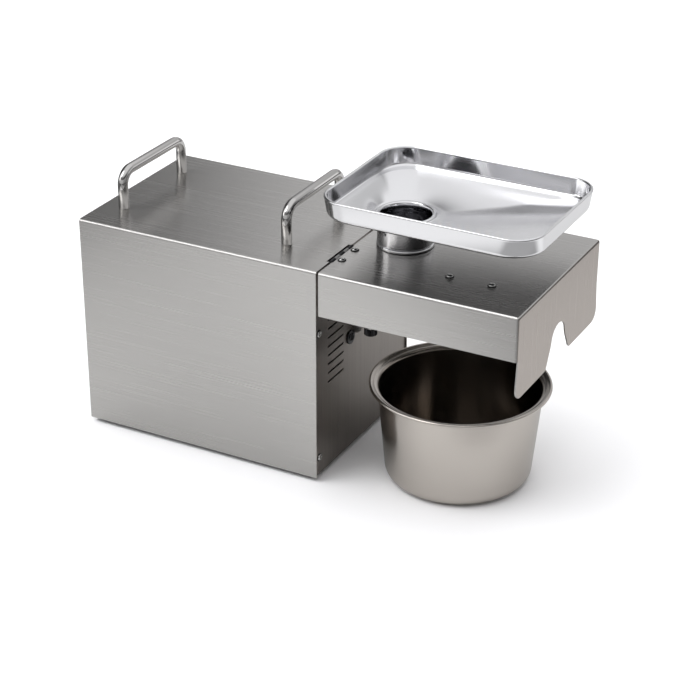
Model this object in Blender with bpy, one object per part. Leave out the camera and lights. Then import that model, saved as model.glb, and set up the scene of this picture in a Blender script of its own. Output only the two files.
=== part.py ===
"""Screw oil press: a motor casing, a press head under a hinged guard, a feed tray and a pot.

Units are metres and +Z is up. The press is laid out in its own casing frame: x runs from the
casing's left end to the press head, y from the front sheet to the back, z up from the table.
One root empty moves that frame so that the middle of the outer box stands over the origin.
"""
import math

import bmesh
import bpy
import numpy as np
from mathutils import Matrix, Vector

# Casing
casing_length = 0.249
casing_depth = 0.185
casing_top = 0.212
sheet = 0.0012
bend_radius = 0.0025
foot_height = 0.004
foot_radius = 0.008
foot_inset = 0.022
panel_inset = 0.0015
panel_gap = 0.0008
lip_width = 0.014
base_flange = 0.014
touch = 0.0003
screw_head_radius = 0.0030
screw_head_height = 0.0020
screw_shank_radius = 0.0016
screw_hole_radius = 0.0020
panel_screw_inset = 0.0079
panel_screw_low = 0.022
panel_screw_high = 0.1484

# Vents
vent_start = 0.0251
vent_length = 0.0300
vent_height = 0.0020
vent_pitch = 0.0089
vent_low = 0.0911
front_vents = 9
rear_vents = 10

# Handles
handle_left_x = 0.022
handle_right_x = 0.1965
handle_span = 0.101
handle_rise = 0.040
handle_bar_radius = 0.0049
handle_bend = 0.013
handle_stud_radius = 0.0025
handle_nut_radius = 0.0048
handle_nut_height = 0.0045

# Press head
axis_z = 0.156
collar_flange_radius = 0.034
collar_flange_thick = 0.006
collar_radius = 0.0290
collar_reach = 0.018
spigot_radius = 0.0242
barrel_radius = 0.0230
barrel_bore = 0.0175
barrel_fit = 0.0003
head_end_gap = 0.0394
flight_clearance = 0.0006
root_start = 0.0095
root_end = 0.0135
flight_pitch = 0.021
flight_start = 0.2690
flight_end_gap = 0.0090
nose_reach = 0.0225
nose_radius = 0.0085
hex_flats = 0.0120
hex_fit = 0.0004
slot_count = 9
slot_width = 0.0014
slot_band_gap = 0.0075
slot_end_gap = 0.0300
inlet_x = 0.2905
inlet_mouth_radius = 0.0240
inlet_neck_radius = 0.0170
inlet_bore = 0.0130
inlet_wall = 0.0020
inlet_top = 0.2040
band_x = 0.3105
band_width = 0.012
band_thick = 0.0022
bolt_offset_y = 0.0242
bolt_offset_z = 0.0369
bolt_washer_radius = 0.0070
bolt_washer_thick = 0.0012
bolt_head_radius = 0.0038
bolt_head_height = 0.0026
bolt_shank_radius = 0.0025
plunger_radius = 0.0062
plunger_bottom = 0.1132
plunger_pin_radius = 0.0030
plunger_offset = 0.0072
plunger_boss = 0.0065
choke_radius = 0.0172
choke_flange = 0.0214
choke_bore = 0.0130
choke_grip = 0.006
choke_flange_thick = 0.0055
nut_radius = 0.0290
nut_bore = 0.0236
nut_cover = 0.013
nut_wall = 0.006
nut_mouth = 0.0150
nut_flutes = 12

# Guard
guard_gap = 0.0024
guard_length = 0.190
guard_side = 0.042
guard_end = 0.0795
guard_corner = 0.011
guard_hole_radius = 0.0220
notch_foot = 0.0250
notch_waist = 0.0165
notch_top = 0.168
stiffener_x = 0.3555
stiffener_pitch = 0.040
stiffener_screw_y = 0.0475

# Hinges
hinge_drop = 0.0010
hinge_reach = 0.0009
hinge_start = 0.0255
hinge_length = 0.0410
hinge_knuckle_radius = 0.0019
hinge_pin_radius = 0.0009
hinge_leaf = 0.0010
hinge_knuckles = 5
hinge_leaf_width = 0.016
hinge_leaf_drop = 0.0095
hinge_slot_depth = 0.0030
hinge_screw_x = 0.257
hinge_screw_inset = 0.0082

# Feed tray
tray_left = 0.2402
tray_right = 0.4466
tray_width = 0.1557
tray_shift = -0.004
tray_rim = 0.2755
tray_depth_share = 0.29134
tray_dish_share = 0.24724
tray_shoulder_share = 0.08189
tray_shoulder = 0.0120
tray_lip_stand = 0.0004
tray_draft = 0.0010
tray_cove = 0.0050
tray_corner = 0.030
tray_sheet = 0.0010
tray_bead = 0.0012
neck_radius = 0.0258
neck_ring_stand = 0.0005
neck_ring_height = 0.0034
neck_wall = 0.0016
tray_spigot_radius = 0.0200
tray_spigot_bottom = 0.190

# Pot
pot_x = 0.355
pot_y = 0.079
pot_rim_radius = 0.0834
pot_rim_height = 0.0948
pot_top_radius = 0.0745
pot_base_radius = 0.0680
pot_base_round = 0.012
pot_sheet = 0.0010
pot_bead = 0.0018

# Drive
plate_front_x = 0.2340
plate_front_thick = 0.0057
plate_rear_x = 0.1960
plate_rear_thick = 0.0045
plate_half_width = 0.046
plate_top = 0.2025
pressure_angle = math.radians(25)
pinion_teeth = 13
first_wheel_teeth = 37
second_pinion_teeth = 13
output_wheel_teeth = 37
first_module = 0.00140
second_module = 0.00180
backlash = 0.00022
first_wheel_x = 0.2030
first_wheel_width = 0.0090
output_wheel_x = 0.2150
output_wheel_width = 0.0140
output_shaft_radius = 0.0085
output_nose_radius = 0.0108
second_shaft_radius = 0.0050
motor_radius = 0.0420
motor_length = 0.108
motor_shaft_radius = 0.0040
motor_ribs = 14
fan_radius = 0.0370
fan_blades = 7
fan_width = 0.010
bearing_wall = 0.0070
bearing_fit = 0.0002
cradle_x = 0.118
cradle_width = 0.022

# Rear panel fittings
switch_width = 0.0210
switch_height = 0.0290
switch_bezel = 0.0020
switch_body = 0.020
switch_y = 0.046
switch_z = 0.150
switch_pitch = 0.036
switch_wall = 0.0022
switch_flange = 0.0022
rocker_rise = 0.0026
rocker_fit = 0.0016
rocker_pivot = 0.0045
heater_tilt = 8.0
inlet_socket_inset = 0.045
inlet_socket_z = 0.050
inlet_socket_width = 0.048
inlet_ear = 0.009
inlet_socket_height = 0.024
inlet_socket_depth = 0.024
board_left = 0.014
board_post = 0.008
board_length = 0.056
board_width = 0.110

# Worked out from the values above
axis_y = casing_depth / 2
panel_face = casing_length - panel_inset
panel_back = panel_face - sheet
rear_face = panel_inset
base_floor = foot_height + 0.0015
guard_left = casing_length + guard_gap
guard_right = guard_left + guard_length
barrel_end = guard_right - head_end_gap
flight_end = barrel_end - flight_end_gap
nose_end = barrel_end + nose_reach
slot_start = band_x + band_width + slot_band_gap
slot_length = barrel_end - slot_end_gap - slot_start
tray_stand = tray_rim - casing_top
tray_depth = tray_stand * tray_depth_share
tray_dish = tray_stand * tray_dish_share
tray_shoulder_fall = tray_stand * tray_shoulder_share
inlet_socket_y = casing_depth - inlet_socket_inset
hinge_x = casing_length + hinge_reach
hinge_z = casing_top - hinge_drop
first_distance = first_module * (pinion_teeth + first_wheel_teeth) / 2
second_distance = second_module * (second_pinion_teeth + output_wheel_teeth) / 2
second_axis_z = axis_z - second_distance
motor_axis_z = second_axis_z - first_distance
tray_centre_y = axis_y + tray_shift
rocker_crown = rocker_pivot + switch_bezel + rocker_rise
rocker_reach = switch_height / 2 - switch_wall - rocker_fit
rocker_tip = (rocker_crown * math.cos(math.radians(heater_tilt))
              + rocker_reach * math.sin(math.radians(heater_tilt)))
box_left = rear_face - touch + rocker_pivot - rocker_tip
box_right = max(tray_right, guard_right)
box_front = min(0.0, pot_y - pot_rim_radius)
box_middle = ((box_left + box_right) / 2, (box_front + casing_depth) / 2)

STEEL = (0.62, 0.62, 0.61)
BRIGHT = (0.80, 0.80, 0.80)
DARK = (0.05, 0.05, 0.055)
GREY = (0.35, 0.35, 0.36)
RUBBER = (0.03, 0.03, 0.03)
BRASS = (0.70, 0.55, 0.28)
GREEN = (0.05, 0.22, 0.10)
RED = (0.55, 0.04, 0.03)


# Helpers

def clear_scene():
    """Remove every object that the file holds."""
    for item in list(bpy.data.objects):
        bpy.data.objects.remove(item, do_unlink=True)


def paint(name, colour, roughness=0.35, metallic=1.0):
    """A Principled material with its own name."""
    material = bpy.data.materials.new(name)
    material.use_nodes = True
    shader = material.node_tree.nodes["Principled BSDF"]
    shader.inputs["Base Color"].default_value = (*colour, 1.0)
    shader.inputs["Roughness"].default_value = roughness
    shader.inputs["Metallic"].default_value = metallic
    material.diffuse_color = (*colour, 1.0)
    return material


def solid(vertices, faces):
    """A mesh with merged doubles and outward normals."""
    mesh = bpy.data.meshes.new("solid")
    mesh.from_pydata([tuple(map(float, v)) for v in vertices], [], faces)
    work = bmesh.new()
    work.from_mesh(mesh)
    bmesh.ops.remove_doubles(work, verts=work.verts, dist=1e-6)
    bmesh.ops.dissolve_degenerate(work, edges=work.edges, dist=1e-7)
    bmesh.ops.recalc_face_normals(work, faces=work.faces)
    work.to_mesh(mesh)
    work.free()
    return mesh


def turned(points, axis):
    """Points given as (a, b, along) laid so that 'along' follows the named axis."""
    order = {"X": (2, 0, 1), "Y": (0, 2, 1), "Z": (0, 1, 2)}[axis]
    table = np.asarray(points, dtype=float)
    return table[:, order]


def extruded(outline, start, end, axis):
    """A flat outline swept along an axis; X takes (y, z), Y takes (x, z), Z takes (x, y)."""
    count = len(outline)
    points = [(a, b, start) for a, b in outline] + [(a, b, end) for a, b in outline]
    faces = [tuple(range(count)), tuple(range(count, 2 * count))]
    for i in range(count):
        j = (i + 1) % count
        faces.append((i, j, j + count, i + count))
    return solid(turned(points, axis), faces)


def box(low, high):
    """A box between two corners."""
    outline = [(low[0], low[1]), (high[0], low[1]), (high[0], high[1]), (low[0], high[1])]
    return extruded(outline, low[2], high[2], "Z")


def cylinder(radius, start, end, axis, centre=(0.0, 0.0), sides=24):
    """A round bar along an axis, centred on a point of the cross plane."""
    turn = [2 * math.pi * i / sides for i in range(sides)]
    outline = [(centre[0] + radius * math.cos(a), centre[1] + radius * math.sin(a)) for a in turn]
    return extruded(outline, start, end, axis)


def lathe(profile, axis, sides=32, closed=False):
    """A profile of (radius, along) points spun round an axis through the origin."""
    rings = []
    points = []
    for radius, along in profile:
        ring = []
        for i in range(1 if radius < 1e-7 else sides):
            angle = 2 * math.pi * i / sides
            ring.append(len(points))
            points.append((radius * math.cos(angle), radius * math.sin(angle), along))
        rings.append(ring)
    pairs = list(zip(rings, rings[1:]))
    if closed:
        pairs.append((rings[-1], rings[0]))
    faces = []
    for low, high in pairs:
        for i in range(sides):
            corners = [low[i % len(low)], low[(i + 1) % len(low)],
                       high[(i + 1) % len(high)], high[i % len(high)]]
            face = list(dict.fromkeys(corners))
            if len(face) > 2:
                faces.append(tuple(face))
    return solid(turned(points, axis), faces)


def arc(centre, radius, start, end, steps):
    """Points of a circular arc; the angles are in degrees."""
    angles = [math.radians(start + (end - start) * i / steps) for i in range(steps + 1)]
    return [(centre[0] + radius * math.cos(a), centre[1] + radius * math.sin(a)) for a in angles]


def joined(*meshes):
    """Several solids that do not touch, kept in one mesh."""
    work = bmesh.new()
    for mesh in meshes:
        work.from_mesh(mesh)
    result = bpy.data.meshes.new("joined")
    work.to_mesh(result)
    work.free()
    return result


def moved(mesh, offset):
    """The mesh shifted by an offset."""
    mesh.transform(Matrix.Translation(Vector(offset)))
    return mesh


def rotated(mesh, degrees, axis):
    """The mesh turned about an axis through its origin."""
    mesh.transform(Matrix.Rotation(math.radians(degrees), 4, axis))
    return mesh


def rounded_box(low, high, radius, axis="Z", steps=3):
    """A box whose edges along one axis are rounded."""
    pick = {"X": (1, 2, 0), "Y": (0, 2, 1), "Z": (0, 1, 2)}[axis]
    a0, b0, c0 = (low[i] for i in pick)
    a1, b1, c1 = (high[i] for i in pick)
    outline = arc((a1 - radius, b1 - radius), radius, 0, 90, steps)
    outline += arc((a0 + radius, b1 - radius), radius, 90, 180, steps)
    outline += arc((a0 + radius, b0 + radius), radius, 180, 270, steps)
    outline += arc((a1 - radius, b0 + radius), radius, 270, 360, steps)
    return extruded(outline, c0, c1, axis)


class Workshop:
    """Places finished pieces under the root empty."""

    def __init__(self):
        self.root = bpy.data.objects.new("press_frame", None)
        self.root.location = (-box_middle[0], -box_middle[1], 0.0)
        bpy.context.collection.objects.link(self.root)

    def place(self, name, mesh, material, at=(0.0, 0.0, 0.0), round_edges=True):
        """Put a mesh in the scene under its node name, with its origin at a point."""
        mesh.name = name
        mesh.materials.append(material)
        item = bpy.data.objects.new(name, mesh)
        item.location = at
        item.parent = self.root
        bpy.context.collection.objects.link(item)
        if round_edges:
            for polygon in mesh.polygons:
                polygon.use_smooth = True
            mesh.set_sharp_from_angle(angle=math.radians(32))
        return item

    def tool(self, item, mesh, operation):
        """Apply a Boolean with a mesh given in the item's own frame."""
        tool = bpy.data.objects.new(item.name + "_tool", mesh)
        tool.location = item.location
        tool.parent = self.root
        tool.hide_render = True
        tool.hide_set(False)
        tool.display_type = "WIRE"
        bpy.context.collection.objects.link(tool)
        step = item.modifiers.new(operation.lower(), "BOOLEAN")
        step.operation = operation
        step.object = tool
        step.solver = "EXACT"

    def cut(self, item, mesh):
        """Cut a mesh out of the item."""
        self.tool(item, mesh, "DIFFERENCE")

    def fuse(self, item, mesh):
        """Make a mesh one body with the item."""
        self.tool(item, mesh, "UNION")


def pan_screw(reach, sides=9):
    """A pan-head screw along +Z: head above the origin, shank below it."""
    head = [(0.0, screw_head_height)]
    head += [(screw_head_radius * math.sin(math.radians(a)),
              screw_head_height * (0.35 + 0.65 * math.cos(math.radians(a)))) for a in (50, 90)]
    profile = head + [(screw_head_radius, 0.0), (screw_shank_radius, 0.0), (screw_shank_radius, -reach),
                      (0.0, -reach)]
    return lathe(profile, "Z", sides)


# Casing pieces

def build_cover(shop):
    """The folded top, front and back sheet, with in-turned lips for the end panels."""
    inner = bend_radius - sheet
    outline = [(0.0, foot_height)]
    outline += arc((bend_radius, casing_top - bend_radius), bend_radius, 180, 90, 4)
    outline += arc((casing_depth - bend_radius, casing_top - bend_radius), bend_radius, 90, 0, 4)
    outline += [(casing_depth, foot_height), (casing_depth - sheet, foot_height)]
    outline += arc((casing_depth - bend_radius, casing_top - bend_radius), inner, 0, 90, 4)
    outline += arc((bend_radius, casing_top - bend_radius), inner, 90, 180, 4)
    outline += [(sheet, foot_height)]
    cover = shop.place("casing_cover", extruded(outline, 0.0, casing_length, "X"), paint("cover", STEEL, 0.3))
    lip_low = base_floor + base_flange + 0.003
    lip_high = casing_top - bend_radius - 0.002
    lips = []
    for x in (rear_face + sheet + touch, panel_back - touch - sheet):
        lips.append(box((x, sheet / 2, lip_low), (x + sheet, lip_width, lip_high)))
        lips.append(box((x, casing_depth - lip_width, lip_low), (x + sheet, casing_depth - sheet / 2, lip_high)))
    shop.fuse(cover, joined(*lips))
    holes = []
    for y in (panel_screw_inset, casing_depth - panel_screw_inset):
        for z in (panel_screw_low, panel_screw_high):
            holes.append(cylinder(screw_hole_radius, -0.001, 0.008, "X", (y, z), 10))
            holes.append(cylinder(screw_hole_radius, panel_back - 0.004, casing_length, "X", (y, z), 10))
    for x in (handle_left_x, handle_right_x):
        for y in handle_legs():
            holes.append(cylinder(handle_stud_radius + touch, casing_top - 0.004, casing_top + 0.002,
                                  "Z", (x, y), 12))
    for start in hinge_starts():
        holes.append(box((casing_length - hinge_slot_depth, start - touch, casing_top - 0.006),
                         (casing_length + 0.002, start + hinge_length + touch, casing_top + 0.002)))
    shop.cut(cover, joined(*holes))


def handle_legs():
    """The y of a handle's two legs."""
    return (axis_y - handle_span / 2, axis_y + handle_span / 2)


def hinge_starts():
    """The y where each hinge begins, the second one mirrored."""
    return (hinge_start, casing_depth - hinge_start - hinge_length)


def build_base(shop):
    """The base plate with upturned flanges, and its four push-in rubber feet."""
    low = sheet + touch
    high = casing_depth - sheet - touch
    rise = base_floor + base_flange
    outline = [(low, rise), (low, base_floor), (high, base_floor), (high, rise), (high - sheet, rise),
               (high - sheet, base_floor + sheet), (low + sheet, base_floor + sheet), (low + sheet, rise)]
    left = rear_face + sheet + touch
    right = panel_back - touch
    plate = shop.place("base_plate", extruded(outline, left, right, "X"), paint("base", GREY, 0.45))
    corners = [(x, y) for x in (foot_inset, casing_length - foot_inset)
               for y in (foot_inset, casing_depth - foot_inset)]
    stem = 0.0026
    holes = [cylinder(stem + touch, base_floor - 0.002, base_floor + 0.004, "Z", spot, 12) for spot in corners]
    for y in (0.070, 0.105):
        for x in (0.154, 0.166):
            holes.append(rounded_box((x - 0.0015, y - 0.009, base_floor - 0.002),
                                     (x + 0.0015, y + 0.009, base_floor + 0.004), 0.0014))
    shop.cut(plate, joined(*holes))
    top = base_floor - touch
    grip = base_floor + sheet + touch
    profile = [(0.0, 0.0), (foot_radius - 0.0010, 0.0), (foot_radius, top), (stem, top), (stem, grip),
               (stem + 0.0012, grip), (0.0, grip + 0.0035)]
    names = ("foot_left_front", "foot_left_back", "foot_right_front", "foot_right_back")
    for name, spot in zip(names, corners):
        shop.place(name, lathe(profile, "Z", 14), paint(name, RUBBER, 0.8, 0.0), (*spot, 0.0))


def end_sheet(shop, name, x):
    """A flat end panel between the cover's walls, its outer face at x + sheet or x."""
    gap = sheet + panel_gap
    low = (x, gap, foot_height + 0.0006)
    high = (x + sheet, casing_depth - gap, casing_top - gap)
    return shop.place(name, rounded_box(low, high, 0.0015, "X"), paint(name, STEEL, 0.35))


def panel_screws(face, side):
    """Four pan screws on an end panel; side is +1 for the right end and -1 for the left."""
    screws = []
    for y in (panel_screw_inset, casing_depth - panel_screw_inset):
        for z in (panel_screw_low, panel_screw_high):
            screw = rotated(pan_screw(0.008), 90 * side, "Y")
            screws.append(moved(screw, (face - side * 0.0001, y, z)))
    return joined(*screws)


def vent_slots(start, low, count, x0, x1):
    """A ladder of level slots cut through an end panel."""
    slots = []
    for i in range(count):
        z = low + i * vent_pitch
        slots.append(box((x0, start, z), (x1, start + vent_length, z + vent_height)))
    return joined(*slots)


def bolt_spots():
    """The y and z of the four bolts that hold the gear case to the panel."""
    return [(axis_y + sy * bolt_offset_y, axis_z + sz * bolt_offset_z) for sy in (-1, 1) for sz in (-1, 1)]


def build_front_panel(shop):
    """The end panel that carries the press head."""
    panel = end_sheet(shop, "front_panel", panel_back)
    shop.fuse(panel, panel_screws(panel_face, 1))
    x0 = panel_back - 0.003
    x1 = panel_face + 0.003
    openings = [cylinder(spigot_radius + 0.0006, x0, x1, "X", (axis_y, axis_z), 32)]
    for spot in bolt_spots():
        openings.append(cylinder(bolt_shank_radius + touch, x0, x1, "X", spot, 12))
    for spot in ((0.128, 0.108), (0.114, 0.1085)):
        openings.append(cylinder(0.0015, x0, x1, "X", spot, 12))
    shop.cut(panel, joined(*openings))
    shop.cut(panel, vent_slots(vent_start, vent_low, front_vents, x0, x1))


def switch_spots():
    """The y and z of the two rocker switches."""
    return [(switch_y, switch_z), (switch_y + switch_pitch, switch_z)]


def build_rear_panel(shop):
    """The left end panel with its switches, socket and vents."""
    panel = end_sheet(shop, "rear_panel", rear_face)
    shop.fuse(panel, panel_screws(rear_face, -1))
    x0 = rear_face - 0.003
    x1 = rear_face + sheet + 0.003
    openings = []
    for y, z in switch_spots():
        openings.append(box((x0, y - switch_width / 2 - touch, z - switch_height / 2 - touch),
                            (x1, y + switch_width / 2 + touch, z + switch_height / 2 + touch)))
    half_width = inlet_socket_width / 2 - inlet_ear
    half_height = inlet_socket_height / 2
    openings.append(box((x0, inlet_socket_y - half_width - touch, inlet_socket_z - half_height - touch),
                        (x1, inlet_socket_y + half_width + touch, inlet_socket_z + half_height + touch)))
    for side in (-1, 1):
        spot = (inlet_socket_y + side * (inlet_socket_width / 2 - inlet_ear / 2), inlet_socket_z)
        openings.append(cylinder(screw_hole_radius, x0, x1, "X", spot, 12))
    shop.cut(panel, joined(*openings))
    shop.cut(panel, vent_slots(vent_start, 0.030, rear_vents, x0, x1))


def build_switch(shop, name, spot, colour, tilt):
    """A rocker switch: its snap-in frame and the rocker on its own axis, resting at a tilt."""
    y, z = spot
    face = rear_face - touch
    half_y = switch_width / 2
    half_z = switch_height / 2
    low = (face - switch_bezel, -half_y - switch_flange, -half_z - switch_flange)
    high = (face, half_y + switch_flange, half_z + switch_flange)
    frame = shop.place(name + "_frame", rounded_box(low, high, 0.0016, "X"),
                       paint(name + "_frame", DARK, 0.45, 0.0), (0.0, y, z))
    shop.fuse(frame, box((face - 0.0005, -half_y, -half_z), (face + switch_body, half_y, half_z)))
    shop.cut(frame, box((face - switch_bezel - 0.002, -half_y + switch_wall, -half_z + switch_wall),
                        (face + 0.010, half_y - switch_wall, half_z - switch_wall)))
    width = half_y - switch_wall - 0.0004
    outline = [(-rocker_crown, rocker_reach), (-rocker_crown + 0.0014, 0.0), (-rocker_crown, -rocker_reach),
               (0.0, -rocker_reach), (0.0036, -0.0030), (0.0036, 0.0030), (0.0, rocker_reach)]
    rocker = rotated(extruded(outline, -width, width, "Y"), -tilt, "Y")
    shop.place(name + "_rocker", rocker, paint(name + "_rocker", colour, 0.35, 0.0),
               (face + rocker_pivot, y, z))


def build_power_inlet(shop):
    """A three-pin appliance inlet with its screwed flange."""
    face = rear_face - touch
    half_y = inlet_socket_width / 2
    half_z = inlet_socket_height / 2
    inner = half_y - inlet_ear
    flange = rounded_box((face - 0.0024, -half_y, -half_z - 0.0015), (face, half_y, half_z + 0.0015), 0.004, "X")
    socket = shop.place("power_inlet", flange, paint("power_inlet", DARK, 0.5, 0.0),
                        (0.0, inlet_socket_y, inlet_socket_z))
    shop.fuse(socket, box((face - 0.001, -inner, -half_z), (face + inlet_socket_depth, inner, half_z)))
    cavity = [(-inner + 0.002, -half_z + 0.0025), (inner - 0.002, -half_z + 0.0025),
              (inner - 0.002, half_z - 0.0075), (inner - 0.0065, half_z - 0.0025),
              (-inner + 0.0065, half_z - 0.0025), (-inner + 0.002, half_z - 0.0075)]
    shop.cut(socket, extruded(cavity, face - 0.004, face + inlet_socket_depth - 0.004, "X"))
    blades = []
    for dy, dz in ((-0.007, -0.0015), (0.0, 0.0020), (0.007, -0.0015)):
        blades.append(box((face + 0.004, dy - 0.001, dz - 0.002),
                          (face + inlet_socket_depth - 0.003, dy + 0.001, dz + 0.002)))
    shop.fuse(socket, joined(*blades))
    screws = []
    for side in (-1, 1):
        screw = rotated(pan_screw(0.006), -90, "Y")
        screws.append(moved(screw, (face - 0.0023, side * (half_y - inlet_ear / 2), 0.0)))
    shop.fuse(socket, joined(*screws))


def build_handles(shop):
    """Two bent round bars, each ending in a stud and nut under the cover."""
    top = casing_top + touch
    under = casing_top - sheet - touch
    rise = handle_rise - handle_bar_radius
    half = handle_span / 2
    for name, x in (("handle_left", handle_left_x), ("handle_right", handle_right_x)):
        leg = [(-half, under - handle_nut_height - 0.003), (-half, under - handle_nut_height),
               (-half, under - handle_nut_height), (-half, under), (-half, under), (-half, top), (-half, top)]
        radii = [handle_stud_radius, handle_stud_radius, handle_nut_radius, handle_nut_radius,
                 handle_stud_radius, handle_stud_radius, handle_bar_radius]
        bend = arc((-half + handle_bend, casing_top + rise - handle_bend), handle_bend, 180, 90, 5)
        side = [(a, b) for a, b in leg + bend]
        radii = radii + [handle_bar_radius] * len(bend)
        mirror = [(-a, b) for a, b in reversed(side)]
        path = [(0.0, a, b - casing_top) for a, b in side + mirror]
        count = len(path)
        mesh = stepped_bar(path, radii + radii[::-1], 12, (2, 3, count - 4, count - 3))
        shop.place(name, mesh, paint(name, BRIGHT, 0.08), (x, axis_y, casing_top))


def stepped_bar(path, radii, sides, flats):
    """A bar like swept, whose tangent is taken over the steps where two stations share a point."""
    points = np.asarray(path, dtype=float)
    tangents = []
    for i in range(len(points)):
        before = next((points[j] for j in range(i - 1, -1, -1) if np.linalg.norm(points[j] - points[i]) > 1e-6),
                      None)
        after = next((points[j] for j in range(i + 1, len(points))
                      if np.linalg.norm(points[j] - points[i]) > 1e-6), None)
        step = np.zeros(3)
        if before is not None:
            step += (points[i] - before) / np.linalg.norm(points[i] - before)
        if after is not None:
            step += (after - points[i]) / np.linalg.norm(after - points[i])
        tangents.append(step / np.linalg.norm(step))
    across = np.array((1.0, 0.0, 0.0))
    vertices = []
    for i, centre in enumerate(points):
        other = np.cross(tangents[i], across)
        for j in range(sides):
            angle = 2 * math.pi * j / sides
            reach = radii[i]
            if i in flats:
                reach *= math.cos(math.pi / 6) / math.cos((angle % (math.pi / 3)) - math.pi / 6)
            vertices.append(centre + reach * (math.cos(angle) * across + math.sin(angle) * other))
    faces = [tuple(range(sides)), tuple(range(len(vertices) - sides, len(vertices)))]
    for i in range(len(points) - 1):
        for j in range(sides):
            k = (j + 1) % sides
            faces.append((i * sides + j, i * sides + k, (i + 1) * sides + k, (i + 1) * sides + j))
    return solid(vertices, faces)


# Drive pieces

def involute_outline(teeth, module, phase):
    """A spur gear outline with involute flanks; a tooth is centred on the phase angle."""
    pitch = teeth * module / 2
    base = pitch * math.cos(pressure_angle)
    tip = pitch + 0.95 * module
    root = pitch - 1.18 * module
    half = (math.pi * pitch / teeth - backlash / 2) / (2 * pitch)

    def flank(radius):
        """Half the tooth angle at a radius."""
        if radius <= base:
            return half + involute(pressure_angle)
        return half + involute(pressure_angle) - involute(math.acos(base / radius))

    start = max(base, root + 0.15 * module)
    radii = [start + (tip - start) * share for share in (0.0, 0.45, 1.0)]
    deep_gaps = base > root + 0.15 * module
    points = []
    for n in range(teeth):
        middle = phase + 2 * math.pi * n / teeth
        if deep_gaps:
            points.append((root, middle - flank(start)))
        else:
            points.append((root, middle - math.pi / teeth))
        points += [(r, middle - flank(r)) for r in radii]
        points += [(r, middle + flank(r)) for r in reversed(radii)]
        if deep_gaps:
            points.append((root, middle + flank(start)))
    return [(r * math.cos(a), r * math.sin(a)) for r, a in points]


def involute(angle):
    """The involute function of a pressure angle."""
    return math.tan(angle) - angle


def build_gear_train(shop):
    """Two spur stages from the motor shaft up to the output shaft."""
    up = math.pi / 2
    down = -math.pi / 2
    wheel_half = math.pi / output_wheel_teeth
    outline = involute_outline(output_wheel_teeth, second_module, down + wheel_half)
    wheel = shop.place("output_gear", extruded(outline, 0.0, output_wheel_width, "X"),
                       paint("output_gear", STEEL, 0.35), (output_wheel_x, axis_y, axis_z))
    holes = [cylinder(output_shaft_radius + touch, -0.01, 0.03, "X", (0.0, 0.0), 24)]
    for i in range(5):
        angle = 2 * math.pi * i / 5
        spot = (0.0205 * math.cos(angle), 0.0205 * math.sin(angle))
        holes.append(cylinder(0.0062, -0.01, 0.03, "X", spot, 12))
    shop.cut(wheel, joined(*holes))

    outline = involute_outline(first_wheel_teeth, first_module, down + math.pi / first_wheel_teeth)
    first = shop.place("intermediate_gear", extruded(outline, 0.0, first_wheel_width, "X"),
                       paint("intermediate_gear", STEEL, 0.35), (first_wheel_x, axis_y, second_axis_z))
    holes = [cylinder(second_shaft_radius + touch, -0.01, 0.03, "X", (0.0, 0.0), 18)]
    for i in range(4):
        angle = 2 * math.pi * (i + 0.5) / 4
        spot = (0.0150 * math.cos(angle), 0.0150 * math.sin(angle))
        holes.append(cylinder(0.0050, -0.01, 0.03, "X", spot, 10))
    shop.cut(first, joined(*holes))

    left = plate_rear_x + 0.0002
    right = plate_front_x + plate_front_thick - 0.0008
    shaft = shop.place("intermediate_shaft", cylinder(second_shaft_radius, left - output_wheel_x,
                       right - output_wheel_x, "X", (0.0, 0.0), 24), paint("intermediate_shaft", STEEL, 0.3),
                       (output_wheel_x, axis_y, second_axis_z))
    outline = involute_outline(second_pinion_teeth, second_module, up)
    shop.fuse(shaft, extruded(outline, -0.0010, output_wheel_width + 0.0010, "X"))

    pinion_left = first_wheel_x - 0.0008
    rotor_left = plate_rear_x - motor_length - 0.020
    shaft = shop.place("motor_shaft", cylinder(motor_shaft_radius, rotor_left - pinion_left,
                       first_wheel_width + 0.0026, "X", (0.0, 0.0), 24), paint("motor_shaft", STEEL, 0.3),
                       (pinion_left, axis_y, motor_axis_z))
    outline = involute_outline(pinion_teeth, first_module, up)
    shop.fuse(shaft, extruded(outline, 0.0, first_wheel_width + 0.0016, "X"))


def build_output_shaft(shop):
    """The output shaft, whose nose has a six-sided socket for the press screw."""
    left = plate_rear_x + 0.0002
    nose = plate_front_x + plate_front_thick + 0.001
    end = hex_end()
    profile = [(0.0, left), (output_shaft_radius, left), (output_shaft_radius, nose),
               (output_nose_radius, nose + 0.0015), (output_nose_radius, end), (0.0, end)]
    shaft = shop.place("output_shaft", lathe([(r, x - left) for r, x in profile], "X", 32),
                       paint("output_shaft", STEEL, 0.3), (left, axis_y, axis_z))
    outline = [(hex_radius(hex_fit) * math.cos(math.radians(60 * i)),
                hex_radius(hex_fit) * math.sin(math.radians(60 * i))) for i in range(6)]
    shop.cut(shaft, extruded(outline, end - left - 0.0125, end - left + 0.002, "X"))


def hex_end():
    """The x where the output shaft's nose ends."""
    return casing_length + 0.0125


def hex_radius(clearance):
    """The corner radius of a hexagon of the drive's width across flats."""
    return (hex_flats / 2 + clearance) / math.cos(math.pi / 6)


def bearing(shop, name, bore, x, width, z):
    """A plain-sided ball bearing ring."""
    inner = bore + touch
    outer = bore + bearing_wall
    groove = 0.0008
    profile = [(inner, 0.0), (inner + 0.0018, 0.0), (inner + 0.0024, groove), (outer - 0.0024, groove),
               (outer - 0.0018, 0.0), (outer, 0.0), (outer, width), (inner, width)]
    shop.place(name, lathe(profile, "X", 16, closed=True), paint(name, BRIGHT, 0.25), (x, axis_y, z))


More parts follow.
